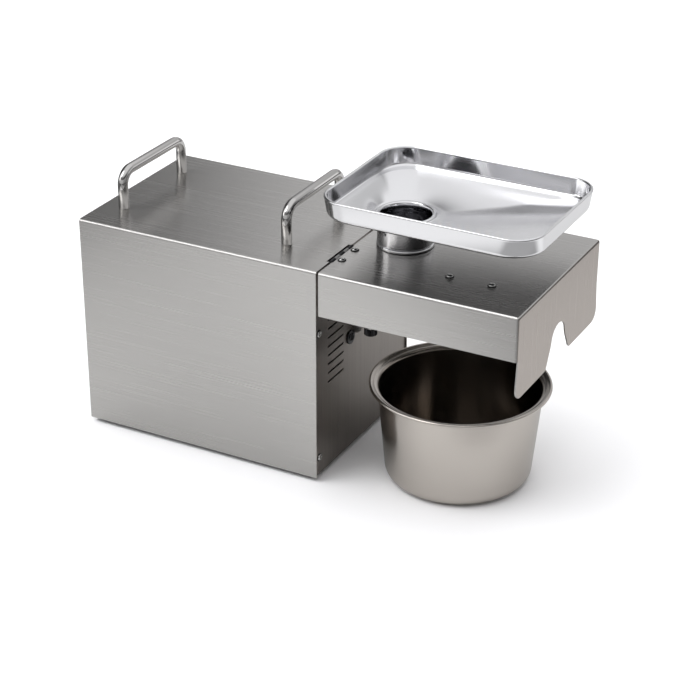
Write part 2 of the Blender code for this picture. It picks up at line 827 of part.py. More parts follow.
def gear_plate(shop, name, x, thick, top_bearing, low_bearing, motor_hole):
    """A plate of the open gear case with its bearing seats."""
    foot = base_floor + sheet + touch
    half = plate_half_width
    plate = shop.place(name, rounded_box((x, axis_y - half, foot), (x + thick, axis_y + half, plate_top),
                                         0.008, "X", 4), paint(name, GREY, 0.5))
    seats = [cylinder(top_bearing + bearing_fit, x - 0.01, x + 0.01, "X", (axis_y, axis_z), 32),
             cylinder(low_bearing + bearing_fit, x - 0.01, x + 0.01, "X", (axis_y, second_axis_z), 32)]
    if motor_hole:
        seats.append(cylinder(0.0130, x - 0.01, x + 0.01, "X", (axis_y, motor_axis_z), 32))
    shop.cut(plate, joined(*seats))
    return plate


def build_gear_case(shop):
    """The two gear plates, their spacers and the four bearings."""
    top = output_shaft_radius + bearing_wall
    low = second_shaft_radius + bearing_wall
    front = gear_plate(shop, "gear_plate_front", plate_front_x, plate_front_thick, top, low, False)
    bosses = []
    holes = []
    face = plate_front_x + plate_front_thick
    for spot in bolt_spots():
        bosses.append(cylinder(0.0058, face - 0.001, panel_back - touch, "X", spot, 12))
        holes.append(cylinder(bolt_shank_radius + touch, plate_front_x - 0.002, panel_face, "X", spot, 12))
    shop.fuse(front, joined(*bosses))
    shop.cut(front, joined(*holes))
    spacers = []
    back_face = plate_rear_x + plate_rear_thick
    for y in (-1, 1):
        for z in (base_floor + 0.016, plate_top - 0.012):
            spacers.append(cylinder(0.0050, back_face + touch, plate_front_x + 0.001, "X",
                                    (axis_y + y * (plate_half_width - 0.007), z), 12))
    shop.fuse(front, joined(*spacers))
    gear_plate(shop, "gear_plate_rear", plate_rear_x, plate_rear_thick, top, low, True)
    bearing(shop, "output_bearing_front", output_shaft_radius, plate_front_x, plate_front_thick, axis_z)
    bearing(shop, "output_bearing_rear", output_shaft_radius, plate_rear_x, plate_rear_thick, axis_z)
    bearing(shop, "shaft_bearing_front", second_shaft_radius, plate_front_x, plate_front_thick, second_axis_z)
    bearing(shop, "shaft_bearing_rear", second_shaft_radius, plate_rear_x, plate_rear_thick, second_axis_z)


def build_motor(shop):
    """The ribbed motor can, its cradle and the cooling fan on the rotor."""
    right = plate_rear_x - touch
    left = right - motor_length
    bell = 0.012
    profile = [(motor_shaft_radius + touch, right), (0.0125, right), (motor_radius - 0.006, right - 0.0005),
               (motor_radius - 0.001, right - bell / 2), (motor_radius - 0.001, left + bell / 2),
               (motor_radius - 0.007, left), (0.0125, left), (0.0125, left - 0.003),
               (motor_shaft_radius + touch, left - 0.003)]
    motor = shop.place("motor_body", lathe([(r, x - left) for r, x in profile], "X", 32, closed=True),
                       paint("motor_body", GREY, 0.5), (left, axis_y, motor_axis_z))
    ribs = []
    for i in range(motor_ribs):
        rib = box((bell, motor_radius - 0.004, -0.0011), (motor_length - bell, motor_radius, 0.0011))
        ribs.append(rotated(rib, 360 * i / motor_ribs, "X"))
    shop.fuse(motor, joined(*ribs))

    floor = base_floor + sheet + touch
    half = 0.030
    seat = motor_radius + touch
    outline = [(-half, floor - motor_axis_z), (half, floor - motor_axis_z)]
    drop = -math.degrees(math.acos(half / seat))
    outline += arc((0.0, 0.0), seat, drop, -180 - drop, 12)
    shop.place("motor_cradle", extruded(outline, 0.0, cradle_width, "X"), paint("motor_cradle", GREY, 0.5),
               (cradle_x, axis_y, motor_axis_z))

    hub = [(motor_shaft_radius + touch, 0.0), (0.0100, 0.0), (0.0100, fan_width),
           (motor_shaft_radius + touch, fan_width)]
    fan_left = left - 0.003 - 0.002 - fan_width
    fan = shop.place("cooling_fan", lathe(hub, "X", 20, closed=True), paint("cooling_fan", DARK, 0.5, 0.0),
                     (fan_left, axis_y, motor_axis_z))
    blades = [rotated(fan_blade(), 360 * i / fan_blades, "X") for i in range(fan_blades)]
    shop.fuse(fan, joined(*blades))


def fan_blade():
    """One twisted fan blade, thin and pitched, standing along +Z."""
    vertices = []
    steps = 3
    for i in range(steps + 1):
        radius = 0.0085 + (fan_radius - 0.0085) * i / steps
        pitch = math.radians(52 - 22 * i / steps)
        half = 0.0052
        for sign, thick in ((-1, -0.0005), (1, -0.0005), (1, 0.0005), (-1, 0.0005)):
            along = sign * half * math.cos(pitch) - thick * math.sin(pitch)
            side = sign * half * math.sin(pitch) + thick * math.cos(pitch)
            vertices.append((fan_width / 2 + along * 0.9, side, radius))
    faces = [(0, 1, 2, 3), tuple(range(4 * steps, 4 * steps + 4))]
    for i in range(steps):
        for j in range(4):
            k = (j + 1) % 4
            faces.append((4 * i + j, 4 * i + k, 4 * i + 4 + k, 4 * i + 4 + j))
    return solid(vertices, faces)


def build_board(shop):
    """The speed and heater control board on its four posts."""
    floor = base_floor + sheet + touch
    deck = floor + board_post
    y0 = axis_y - board_width / 2
    x0 = board_left
    u = board_length / 56
    v = board_width / 110
    low = 1.2 * u

    def block(x_low, x_high, y_low, y_high, top):
        """A component on the board, in steps of the board's grid."""
        return box((x_low * u, y_low * v, low), (x_high * u, y_high * v, top * u))

    board = shop.place("control_board", box((0.0, 0.0, 0.0), (board_length, board_width, 1.6 * u)),
                       paint("control_board", GREEN, 0.5, 0.0), (x0, y0, deck))
    parts = []
    for x in (5 * u, board_length - 5 * u):
        for y in (5 * v, board_width - 5 * v):
            parts.append(cylinder(3 * u, floor - deck, 0.3 * u, "Z", (x, y), 12))
    parts.append(block(6, 22, 14, 46, 24))
    parts.append(cylinder(8.5 * u, low, 34 * u, "Z", (36 * u, 30 * v), 20))
    parts.append(cylinder(8.5 * u, low, 34 * u, "Z", (36 * u, 52 * v), 20))
    parts.append(block(10, 24, 58, 74, 17))
    parts.append(block(30, 50, 72, 86, 14))
    parts.append(block(8, 14, 88, 104, 12))
    shop.fuse(board, joined(*parts))
    fins = [box(((8.5 + 3.4 * i) * u, 12 * v, 10 * u), ((10.1 + 3.4 * i) * u, 48 * v, 26 * u)) for i in range(4)]
    shop.cut(board, joined(*fins))


# Press head pieces

def build_collar(shop):
    """The barrel holder: a flanged sleeve whose spigot passes the panel to the gear plate."""
    back = plate_front_x + plate_front_thick + touch
    face = panel_face + touch
    end = casing_length + collar_reach
    stop = casing_length + 0.0005
    bore = barrel_radius + barrel_fit
    small = output_nose_radius + 0.0008
    profile = [(small, back), (spigot_radius, back), (spigot_radius, face), (collar_flange_radius, face),
               (collar_flange_radius, face + collar_flange_thick - 0.001),
               (collar_flange_radius - 0.001, face + collar_flange_thick),
               (collar_radius + 0.0015, face + collar_flange_thick), (collar_radius, face + 0.0078),
               (collar_radius, end - 0.001), (collar_radius - 0.001, end), (bore, end), (bore, stop),
               (small, stop)]
    x = casing_length
    collar = shop.place("barrel_collar", lathe([(r, a - x) for r, a in profile], "X", 28, closed=True),
                        paint("barrel_collar", STEEL, 0.3), (x, axis_y, axis_z))
    shop.fuse(collar, cylinder(plunger_radius, -collar_radius - plunger_boss, -barrel_radius - 0.003, "Z",
                               (plunger_offset, 0.00001), 22))
    shop.cut(collar, cylinder(plunger_pin_radius + touch, -collar_radius - 0.01, -barrel_radius + 0.002, "Z",
                              (plunger_offset, 0.00002), 18))


def build_bolts(shop):
    """Four dome-head bolts on dark washers round the collar."""
    face = panel_face + touch
    seat = face + bolt_washer_thick
    profile = [(0.0, seat + bolt_head_height)]
    for angle in (30, 62, 90):
        turn = math.radians(angle)
        profile.append((bolt_head_radius * math.sin(turn), seat + bolt_head_height * math.cos(turn)))
    profile += [(bolt_head_radius, seat), (bolt_washer_radius, seat - 0.0002), (bolt_washer_radius, face),
                (bolt_shank_radius, face), (bolt_shank_radius, plate_front_x + 0.0005),
                (0.0, plate_front_x + 0.0005)]
    names = ("case_bolt_front_low", "case_bolt_front_high", "case_bolt_back_low", "case_bolt_back_high")
    for name, spot in zip(names, bolt_spots()):
        mesh = lathe([(r, x - face) for r, x in profile], "X", 12)
        shop.place(name, mesh, paint(name, DARK, 0.35), (face, *spot))


def build_plunger(shop):
    """The spring plunger that locks the barrel: a knurled pull knob on a pin."""
    seat = axis_z - collar_radius - plunger_boss - touch
    x = casing_length + plunger_offset
    tip = axis_z - barrel_radius + 0.0018
    knob = seat - plunger_bottom
    ring = knurled(plunger_radius - 0.0006, 0.0006, 18)
    body = shop.place("lock_plunger", extruded(ring, -knob, 0.0, "Z"), paint("lock_plunger", DARK, 0.4),
                      (x, axis_y, seat))
    shop.fuse(body, cylinder(plunger_pin_radius, -0.001, tip - seat, "Z", (0.0, 0.0), 20))


def knurled(radius, depth, count):
    """A round outline with straight knurls."""
    points = []
    for i in range(2 * count):
        reach = radius + (depth if i % 2 else 0.0)
        angle = math.pi * i / count
        points.append((reach * math.cos(angle), reach * math.sin(angle)))
    return points


def build_barrel(shop):
    """The press barrel: a thick bored tube with a feed inlet, drain slots and a stepped nose."""
    x = casing_length
    start = casing_length + 0.0010
    nose = barrel_end - nut_cover - 0.002
    profile = [(0.0, start), (barrel_radius, start), (barrel_radius, nose), (nut_bore - 0.0016, nose),
               (nut_bore - 0.0016, barrel_end), (0.0, barrel_end)]
    barrel = shop.place("press_barrel", lathe([(r, a - x) for r, a in profile], "X", 32),
                        paint("press_barrel", STEEL, 0.28), (x, axis_y, axis_z))
    top = inlet_top - axis_z
    mouth = inlet_mouth_radius
    inlet = [(0.0, 0.004), (inlet_neck_radius, 0.004), (inlet_neck_radius, barrel_radius + 0.0035), (mouth, barrel_radius + 0.0105), (mouth, top),
             (0.0, top)]
    shop.fuse(barrel, moved(lathe(inlet, "Z", 26), (inlet_x - x, 0.0, 0.0)))
    shop.cut(barrel, cylinder(barrel_bore, start - x - 0.002, barrel_end - x + 0.002, "X", (0.0, 0.0), 32))
    slots = []
    for i in range(slot_count):
        angle = 180 + (i - (slot_count - 1) / 2) * 240 / slot_count
        slot = box((slot_start - x, -slot_width / 2, barrel_bore - 0.004),
                   (slot_start + slot_length - x, slot_width / 2, barrel_radius + 0.004))
        slots.append(rotated(slot, angle, "X"))
    shop.cut(barrel, joined(*slots))
    hollow = [(0.0, 0.0), (inlet_bore, 0.0), (inlet_bore, barrel_radius + 0.0030),
              (mouth - inlet_wall, barrel_radius + 0.0115), (mouth - inlet_wall, top + 0.002), (0.0, top + 0.002)]
    shop.cut(barrel, moved(lathe(hollow, "Z", 26), (inlet_x - x, 0.0, 0.0)))
    shop.cut(barrel, cylinder(plunger_pin_radius + 0.0008, -barrel_radius - 0.002, -barrel_radius + 0.003, "Z",
                              (plunger_offset, 0.0), 20))


def build_heater_band(shop):
    """The clamp band that warms the barrel, with its two ears and screw."""
    inner = barrel_radius + touch
    outer = inner + band_thick
    split = 6.0
    outline = arc((0.0, 0.0), outer, -90 + split, 270 - split, 30)
    outline += arc((0.0, 0.0), inner, 270 - split, -90 + split, 30)
    band = shop.place("heater_band", extruded(outline, 0.0, band_width, "X"), paint("heater_band", BRASS, 0.4),
                      (band_x, axis_y, axis_z))
    gap = 0.0024
    ears = []
    for side in (-1, 1):
        y0 = side * gap
        y1 = side * (gap + 0.0018)
        ears.append(box((0.001, min(y0, y1), -outer - 0.0075), (band_width - 0.001, max(y0, y1), -inner - 0.0004)))
    shop.fuse(band, joined(*ears))
    reach = gap + 0.0030
    shop.fuse(band, cylinder(0.0013, -reach, reach, "Y", (band_width / 2, -outer - 0.0040), 10))


def build_screw(shop):
    """The press screw: a flighted worm on a root that grows towards the nose."""
    shaft_start = hex_end() - 0.0110
    collar_radius_inner = barrel_bore - flight_clearance
    worm = worm_mesh(flight_start, flight_end, collar_radius_inner)
    screw = shop.place("press_screw", worm, paint("press_screw", STEEL, 0.3), (flight_start, axis_y, axis_z))
    outline = [(hex_radius(0.0) * math.cos(math.radians(60 * i)),
                hex_radius(0.0) * math.sin(math.radians(60 * i))) for i in range(6)]
    shop.fuse(screw, extruded(outline, shaft_start - flight_start, 0.0005 - 0.0035, "X"))
    neck = root_start + 0.0008
    shoulder = [(0.0, -0.0045), (neck, -0.0045), (neck, 0.0010), (0.0, 0.0010)]
    shop.fuse(screw, lathe(shoulder, "X", 24))
    end = flight_end - flight_start
    tip = nose_end - flight_start
    cone = [(0.0, end - 0.0010), (0.0118, end - 0.0010), (0.0118, end + 0.0020), (nose_radius, tip - 0.002),
            (nose_radius - 0.0015, tip), (0.0, tip)]
    shop.fuse(screw, lathe(cone, "X", 24))


def worm_mesh(start, end, crest):
    """A closed worm: grid lines follow the helix, so each flight keeps crisp edges."""
    sides = 20
    length = end - start
    profile = [(0.00, 0.0), (0.50, 0.0), (0.62, 1.0), (0.82, 1.0)]
    turns = int(math.ceil(length / flight_pitch)) + 1
    levels = np.array([-1.0])
    heights = np.array([0.0])
    for turn in range(-1, turns):
        levels = np.append(levels, [turn + place for place, _ in profile])
        heights = np.append(heights, [height for _, height in profile])
    angle = 2 * np.pi * np.arange(sides) / sides
    along = (levels[:, None] + angle[None, :] / (2 * np.pi)) * flight_pitch
    phase_height = np.repeat(heights[:, None], sides, axis=1)
    along = np.clip(along, 0.0, length)
    free = along - angle[None, :] / (2 * np.pi) * flight_pitch
    wrapped = np.mod(free / flight_pitch, 1.0)
    places = [place for place, _ in profile] + [1.0]
    rises = [height for _, height in profile] + [0.0]
    clipped = np.interp(wrapped, places, rises)
    inside = (along > 0.0) & (along < length)
    height = np.where(inside, phase_height, clipped)
    root = root_start + (root_end - root_start) * along / length
    radius = root + (crest - root) * height
    vertices = np.stack([along, radius * np.cos(angle), radius * np.sin(angle)], axis=-1).reshape(-1, 3)
    rows = len(levels)
    faces = []
    for i in range(rows - 1):
        for j in range(sides - 1):
            faces.append((i * sides + j, i * sides + j + 1, (i + 1) * sides + j + 1, (i + 1) * sides + j))
    return close_worm(vertices, faces, rows, sides, len(profile))


def close_worm(vertices, faces, rows, sides, lag):
    """Join the last column to the first one turn on, and cap both ends with a fan."""
    last = sides - 1
    for i in range(rows - 1):
        if i + 1 + lag < rows:
            faces.append((i * sides + last, (i + lag) * sides, (i + 1 + lag) * sides, (i + 1) * sides + last))
    return solid_capped(vertices, faces)


def solid_capped(vertices, faces):
    """Weld the grid, drop collapsed faces, then fill the open ends."""
    mesh = bpy.data.meshes.new("worm")
    mesh.from_pydata([tuple(map(float, v)) for v in vertices], [], faces)
    work = bmesh.new()
    work.from_mesh(mesh)
    bmesh.ops.remove_doubles(work, verts=work.verts, dist=2e-6)
    bmesh.ops.dissolve_degenerate(work, edges=work.edges, dist=1e-6)
    loose = [v for v in work.verts if not v.link_faces]
    bmesh.ops.delete(work, geom=loose, context="VERTS")
    open_edges = [e for e in work.edges if len(e.link_faces) == 1]
    bmesh.ops.holes_fill(work, edges=open_edges, sides=0)
    bmesh.ops.recalc_face_normals(work, faces=work.faces)
    work.to_mesh(mesh)
    work.free()
    return mesh


def build_choke(shop):
    """The choke ring that slides in the barrel's nose, and the nut that sets it."""
    start = barrel_end - choke_grip
    flange = barrel_end + touch
    face = flange + choke_flange_thick
    edge = choke_bore / 13
    profile = [(choke_radius - 3 * edge, start), (choke_radius, start), (choke_radius, flange),
               (choke_flange, flange), (choke_flange, face), (choke_bore + edge, face), (choke_bore, face - edge),
               (choke_bore, start + choke_grip * 2 / 3)]
    shop.place("choke_ring", lathe([(r, a - start) for r, a in profile], "X", 28, closed=True),
               paint("choke_ring", STEEL, 0.3), (start, axis_y, axis_z))
    left = barrel_end - nut_cover
    wall = face + touch
    right = wall + nut_wall
    outline = []
    for i in range(nut_flutes):
        middle = 360 * i / nut_flutes
        outline += arc((0.0, 0.0), nut_radius, middle - 9, middle + 9, 2)
        outline += arc((0.0, 0.0), nut_radius - 0.0022, middle + 13.5, middle + 16.5, 1)
    nut = shop.place("adjusting_nut", extruded(outline, 0.0, right - left, "X"),
                     paint("adjusting_nut", STEEL, 0.3), (left, axis_y, axis_z))
    hollow = [(0.0, -0.002), (nut_bore - 0.0012, -0.002), (nut_bore - 0.0012, wall - left),
              (nut_mouth, wall - left), (nut_mouth + 0.004, right - left + 0.002), (0.0, right - left + 0.002)]
    shop.cut(nut, lathe(hollow, "X", 28))


# Guard pieces

def build_guard(shop):
    """The folded guard over the press head: top, two sides and a notched end plate."""
    reach = guard_right - hinge_x
    near = guard_left - hinge_x
    top = casing_top - hinge_z
    low_side = top - guard_side
    low_end = top - guard_end
    work = bmesh.new()
    spots = {}

    def vertex(x, y, z):
        """A vertex that is shared by the faces that meet there."""
        key = (round(x, 6), round(y, 6), round(z, 6))
        if key not in spots:
            spots[key] = work.verts.new((x, y, z))
        return spots[key]

    front = 0.0
    back = casing_depth
    for ring in ([(near, front, top), (reach, front, top), (reach, back, top), (near, back, top)],
                 [(near, front, low_side), (reach, front, low_side), (reach, front, top), (near, front, top)],
                 [(near, back, top), (reach, back, top), (reach, back, low_side), (near, back, low_side)]):
        work.faces.new([vertex(*corner) for corner in ring])
    end = [(front, top), (front, low_side)]
    end += arc((guard_corner, low_end + guard_corner), guard_corner, 180, 270, 5)
    end += notch_outline(low_end)
    end += arc((back - guard_corner, low_end + guard_corner), guard_corner, 270, 360, 5)
    end += [(back, low_side), (back, top)]
    work.faces.new([vertex(reach, y, z) for y, z in end])
    bmesh.ops.recalc_face_normals(work, faces=work.faces)
    folds = [e for e in work.edges if len(e.link_faces) == 2]
    bmesh.ops.bevel(work, geom=folds, offset=bend_radius, segments=3, profile=0.5, affect="EDGES")
    mesh = bpy.data.meshes.new("guard")
    work.to_mesh(mesh)
    work.free()
    guard = shop.place("guard", mesh, paint("guard", STEEL, 0.3), (hinge_x, 0.0, hinge_z))
    fold = guard.modifiers.new("thickness", "SOLIDIFY")
    fold.thickness = sheet
    fold.offset = -1.0
    fold.use_even_offset = True
    holes = [cylinder(guard_hole_radius, top - 0.004, top + 0.004, "Z", (inlet_x - hinge_x, axis_y), 32)]
    for start in hinge_starts():
        holes.append(box((near - 0.002, start - touch, top - 0.004),
                         (hinge_knuckle_radius + touch, start + hinge_length + touch, top + 0.004)))
        for y in (start + hinge_screw_inset, start + hinge_length - hinge_screw_inset):
            holes.append(cylinder(screw_hole_radius, top - 0.004, top + 0.004, "Z", (hinge_screw_x - hinge_x, y),
                                  12))
    for x, y in stiffener_spots():
        holes.append(cylinder(screw_hole_radius, top - 0.004, top + 0.004, "Z", (x - hinge_x, y), 12))
    shop.cut(guard, joined(*holes))


def notch_outline(low):
    """The bell-shaped cake outlet in the end plate, from its front foot over the arch."""
    arch = notch_top - hinge_z
    height = arch - low
    half = []
    for width, share in ((notch_foot + 0.003, 0.0), (notch_foot, 0.07), (0.0215, 0.26), (notch_waist, 0.53)):
        half.append((width, low + share * height))
    for angle in (28, 50, 70, 90):
        turn = math.radians(angle)
        half.append((0.0155 * math.cos(turn), low + height * (0.60 + 0.40 * math.sin(turn))))
    front = [(axis_y - width, z) for width, z in half]
    back = [(axis_y + width, z) for width, z in reversed(half[:-1])]
    return front + back


def stiffener_spots():
    """The x and y of the four dome screws on the guard."""
    return [(stiffener_x + i * stiffener_pitch, y) for i in (0, 1)
            for y in (stiffener_screw_y, casing_depth - stiffener_screw_y)]


def build_stiffener(shop):
    """The pressed channel under the guard's top, with its four screws."""
    under = casing_top - sheet - touch - hinge_z
    x0 = stiffener_x - 0.009 - hinge_x
    x1 = stiffener_x + stiffener_pitch + 0.009 - hinge_x
    y0 = stiffener_screw_y - 0.010
    y1 = casing_depth - y0
    drop = 0.008
    outline = [(x0, under), (x1, under), (x1, under - sheet), (x1 - 0.016, under - sheet),
               (x1 - 0.018, under - drop), (x0 + 0.018, under - drop), (x0 + 0.016, under - sheet),
               (x0, under - sheet)]
    inner = [(x0 + 0.0175, under + 0.001), (x1 - 0.0175, under + 0.001), (x1 - 0.0190, under - drop + sheet),
             (x0 + 0.0190, under - drop + sheet)]
    channel = shop.place("guard_channel", extruded(outline, y0, y1, "Y"), paint("guard_channel", STEEL, 0.4),
                         (hinge_x, 0.0, hinge_z))
    shop.cut(channel, extruded(inner, y0 - 0.001, y1 + 0.001, "Y"))
    screws = [moved(pan_screw(sheet + touch + 0.0018), (x - hinge_x, y, casing_top + touch - hinge_z))
              for x, y in stiffener_spots()]
    shop.fuse(channel, joined(*screws))


def build_hinges(shop):
    """Two butt hinges, each a fixed leaf, a moving leaf and a pin."""
    for label, start in zip(("front", "back"), hinge_starts()):
        bay = hinge_length / hinge_knuckles
        knuckle = arc((0.0, 0.0), hinge_knuckle_radius, 0, 360, 12)[:-1]
        leaf_left = panel_face + touch - hinge_x
        fixed = shop.place("hinge_fixed_" + label, extruded(knuckle, 0.0, hinge_length, "Y"),
                           paint("hinge_fixed_" + label, DARK, 0.4), (hinge_x, start, hinge_z))
        shop.fuse(fixed, box((leaf_left, 0.0, -hinge_leaf_drop), (leaf_left + hinge_leaf, hinge_length, -0.0002)))
        moving = shop.place("hinge_moving_" + label, extruded(knuckle, 0.0, hinge_length, "Y"),
                            paint("hinge_moving_" + label, DARK, 0.4), (hinge_x, start, hinge_z))
        leaf_top = hinge_drop - sheet - touch
        shop.fuse(moving, box((0.0006, 0.0, leaf_top - hinge_leaf), (hinge_leaf_width, hinge_length, leaf_top)))
        screws = [moved(pan_screw(sheet + touch + 0.0015), (hinge_screw_x - hinge_x, y, hinge_drop + touch))
                  for y in (hinge_screw_inset, hinge_length - hinge_screw_inset)]
        shop.fuse(moving, joined(*screws))
        reach = hinge_knuckle_radius + 0.0008
        for item, bays in ((fixed, (1, 3)), (moving, (0, 2, 4))):
            gaps = [box((-reach, n * bay - touch / 2, -reach),
                        (reach, (n + 1) * bay + touch / 2, reach)) for n in bays]
            shop.cut(item, joined(*gaps))
            shop.cut(item, cylinder(hinge_pin_radius + touch / 2, -0.002, hinge_length + 0.002, "Y", (0.0, 0.0), 10))
        shop.place("hinge_pin_" + label, cylinder(hinge_pin_radius, -0.0006, hinge_length + 0.0006, "Y",
                   (0.0, 0.0), 10), paint("hinge_pin_" + label, STEEL, 0.3), (hinge_x, start, hinge_z))


# Loose pieces

def rounded_ring(half_x, half_y, radius, steps=5):
    """Points round a rounded rectangle, with two extra points on each side."""
    corners = [(half_x - radius, half_y - radius, 0), (radius - half_x, half_y - radius, 90),
               (radius - half_x, radius - half_y, 180), (half_x - radius, radius - half_y, 270)]
    ring = []
    for n, (cx, cy, start) in enumerate(corners):
        edge = arc((cx, cy), radius, start, start + 90, steps)
        ring += edge
        after = corners[(n + 1) % 4]
        turn = math.radians(start + 90)
        begin = edge[-1]
        finish = (after[0] + radius * math.cos(turn), after[1] + radius * math.sin(turn))
        for share in (1 / 3, 2 / 3):
            ring.append((begin[0] + (finish[0] - begin[0]) * share, begin[1] + (finish[1] - begin[1]) * share))
    return ring


def build_tray(shop):
    """The upright-walled feed tray: rolled rim, coved corner, a floor that falls to the throat, neck and spigot."""
    half_x = (tray_right - tray_left) / 2
    half_y = tray_width / 2
    centre_x = (tray_left + tray_right) / 2
    seat = casing_top + touch
    neck_x = inlet_x - centre_x
    neck_y = axis_y - tray_centre_y
    floor = tray_rim - tray_depth
    throat = floor - tray_dish
    foot_inset = tray_lip_stand + tray_draft + tray_cove
    shoulder_inset = foot_inset + tray_shoulder
    shoulder_floor = floor - tray_shoulder_fall
    rings = []

    def level(inset, z):
        """A rounded rectangle set in from the rim."""
        ring = rounded_ring(half_x - inset, half_y - inset, tray_corner - inset)
        rings.append([(x, y, z) for x, y in ring])

    def blend(share, z, radius):
        """Part of the way from the shoulder's inner edge to a circle round the neck."""
        edge = rounded_ring(half_x - shoulder_inset, half_y - shoulder_inset, tray_corner - shoulder_inset)
        first = math.atan2(edge[0][1] - neck_y, edge[0][0] - neck_x)
        row = []
        for i, (x, y) in enumerate(edge):
            angle = first + 2 * math.pi * i / len(edge)
            cx = neck_x + radius * math.cos(angle)
            cy = neck_y + radius * math.sin(angle)
            row.append((x + (cx - x) * share, y + (cy - y) * share, z))
        rings.append(row)

    def cove(radius, angles):
        """The rounded corner between floor and wall; angle 90 is at the floor and 0 at the wall."""
        for angle in angles:
            turn = math.radians(angle)
            level(foot_inset - radius * math.cos(turn), floor - tray_sheet + tray_cove - radius * math.sin(turn))

    wall = tray_spigot_radius - neck_wall
    ring_radius = neck_radius + neck_ring_stand
    middle = throat + 0.28 * (shoulder_floor - throat)
    for radius, z in ((tray_spigot_radius, tray_spigot_bottom), (tray_spigot_radius, seat), (ring_radius, seat),
                      (ring_radius, seat + neck_ring_height), (neck_radius, seat + neck_ring_height),
                      (neck_radius, throat - 0.0030)):
        blend(1.0, z, radius)
    blend(1.0, throat - tray_sheet, neck_radius + 0.003)
    blend(0.5, middle - tray_sheet, neck_radius)
    level(shoulder_inset, shoulder_floor - tray_sheet)
    cove(tray_cove, (90, 45, 0))
    level(tray_lip_stand, tray_rim - tray_bead * 2.3)
    level(tray_bead * 0.1, tray_rim - tray_bead * 1.7)
    level(0.0, tray_rim - tray_bead)
    level(tray_bead * 0.35, tray_rim - tray_bead * 0.3)
    level(tray_bead, tray_rim)
    level(tray_bead * 1.7, tray_rim - tray_bead * 0.4)
    level(tray_bead * 1.9, tray_rim - tray_bead * 1.3)
    cove(tray_cove - tray_sheet, (0, 45, 90))
    level(foot_inset + 0.45 * tray_shoulder, floor - 0.55 * tray_shoulder_fall)
    level(shoulder_inset, shoulder_floor)
    blend(0.5, middle, neck_radius)
    for radius, z in ((neck_radius + 0.0016, throat), (neck_radius - 0.0010, throat + 0.0012),
                      (wall + 0.0035, throat + 0.0004), (wall + 0.0025, throat - 0.0030),
                      (wall, seat + 0.16 * (floor - seat)), (wall, tray_spigot_bottom)):
        blend(1.0, z, radius)
    count = len(rings[0])
    vertices = [point for ring in rings for point in ring]
    faces = []
    for i in range(len(rings)):
        j = (i + 1) % len(rings)
        for a in range(count):
            b = (a + 1) % count
            faces.append((i * count + a, i * count + b, j * count + b, j * count + a))
    mesh = solid([(x, y, z - seat) for x, y, z in vertices], faces)
    shop.place("feed_tray", mesh, paint("feed_tray", BRIGHT, 0.08), (centre_x, tray_centre_y, seat))


def build_pot(shop):
    """The spun oil pot: rounded base, gently flared wall and a turned-out rim."""
    lip = pot_rim_radius - pot_top_radius
    high = pot_rim_height
    r = pot_base_round
    outer = [(0.0, 0.0), (pot_base_radius - r, 0.0)]
    outer += arc((pot_base_radius - r, r), r, -90, -8, 4)
    outer += [(pot_top_radius, high - 0.011), (pot_top_radius + 0.25 * lip, high - 0.0060),
              (pot_top_radius + 0.6 * lip, high - 0.0034), (pot_rim_radius - pot_bead, high - 2 * pot_bead)]
    bead = arc((pot_rim_radius - pot_bead, high - pot_bead), pot_bead, -50, 130, 4)
    s = pot_sheet
    inner = [(pot_top_radius + 0.6 * lip, high - 0.0034 + s), (pot_top_radius + 0.25 * lip - 0.5 * s, high - 0.0052),
             (pot_top_radius - s, high - 0.0105), (pot_base_radius - s - 0.0003, r)]
    inner += arc((pot_base_radius - r, r), r - s, -8, -90, 3)
    inner += [(0.0, s)]
    mesh = lathe(outer + bead + inner, "Z", 36)
    shop.place("oil_pot", mesh, paint("oil_pot", STEEL, 0.25), (pot_x, pot_y, 0.0))


def main():
    """Build every piece of the press."""
    clear_scene()
    shop = Workshop()
    build_cover(shop)
    build_base(shop)
    build_front_panel(shop)
    build_rear_panel(shop)
    build_switch(shop, "motor_switch", switch_spots()[0], DARK, 0.0)
    build_switch(shop, "heater_switch", switch_spots()[1], RED, heater_tilt)
    build_power_inlet(shop)
    build_handles(shop)
    build_gear_case(shop)
    build_gear_train(shop)
    build_output_shaft(shop)
    build_motor(shop)
    build_board(shop)
    build_collar(shop)
    build_bolts(shop)
    build_plunger(shop)
    build_barrel(shop)
    build_heater_band(shop)
    build_screw(shop)
    build_choke(shop)
    build_guard(shop)
    build_stiffener(shop)
    build_hinges(shop)
    build_tray(shop)
    build_pot(shop)


main()
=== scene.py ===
import math

import bmesh
import bpy
import numpy as np
from mathutils import Matrix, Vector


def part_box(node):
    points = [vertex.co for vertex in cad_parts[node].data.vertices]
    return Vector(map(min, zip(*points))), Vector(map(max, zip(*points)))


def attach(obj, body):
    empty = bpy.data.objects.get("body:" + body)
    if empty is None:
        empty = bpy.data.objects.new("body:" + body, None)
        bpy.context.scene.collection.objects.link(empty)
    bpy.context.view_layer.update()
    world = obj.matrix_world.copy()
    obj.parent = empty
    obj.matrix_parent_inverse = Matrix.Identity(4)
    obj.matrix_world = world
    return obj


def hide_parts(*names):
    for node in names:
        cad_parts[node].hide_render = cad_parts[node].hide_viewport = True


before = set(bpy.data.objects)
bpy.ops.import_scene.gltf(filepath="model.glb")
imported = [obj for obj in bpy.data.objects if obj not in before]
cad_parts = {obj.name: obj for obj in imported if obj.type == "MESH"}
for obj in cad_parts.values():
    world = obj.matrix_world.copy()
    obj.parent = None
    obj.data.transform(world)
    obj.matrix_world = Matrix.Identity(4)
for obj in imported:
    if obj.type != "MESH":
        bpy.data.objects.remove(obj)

bl_info = {
    "name": "Screw oil press finishes",
    "version": (1, 0, 0),
    "blender": (4, 5, 0),
    "location": "View3D > Sidebar > Press",
    "description": "Dresses a screw oil press: sheet metal, feed tray, pot, handles and fittings",
    "category": "Object",
}

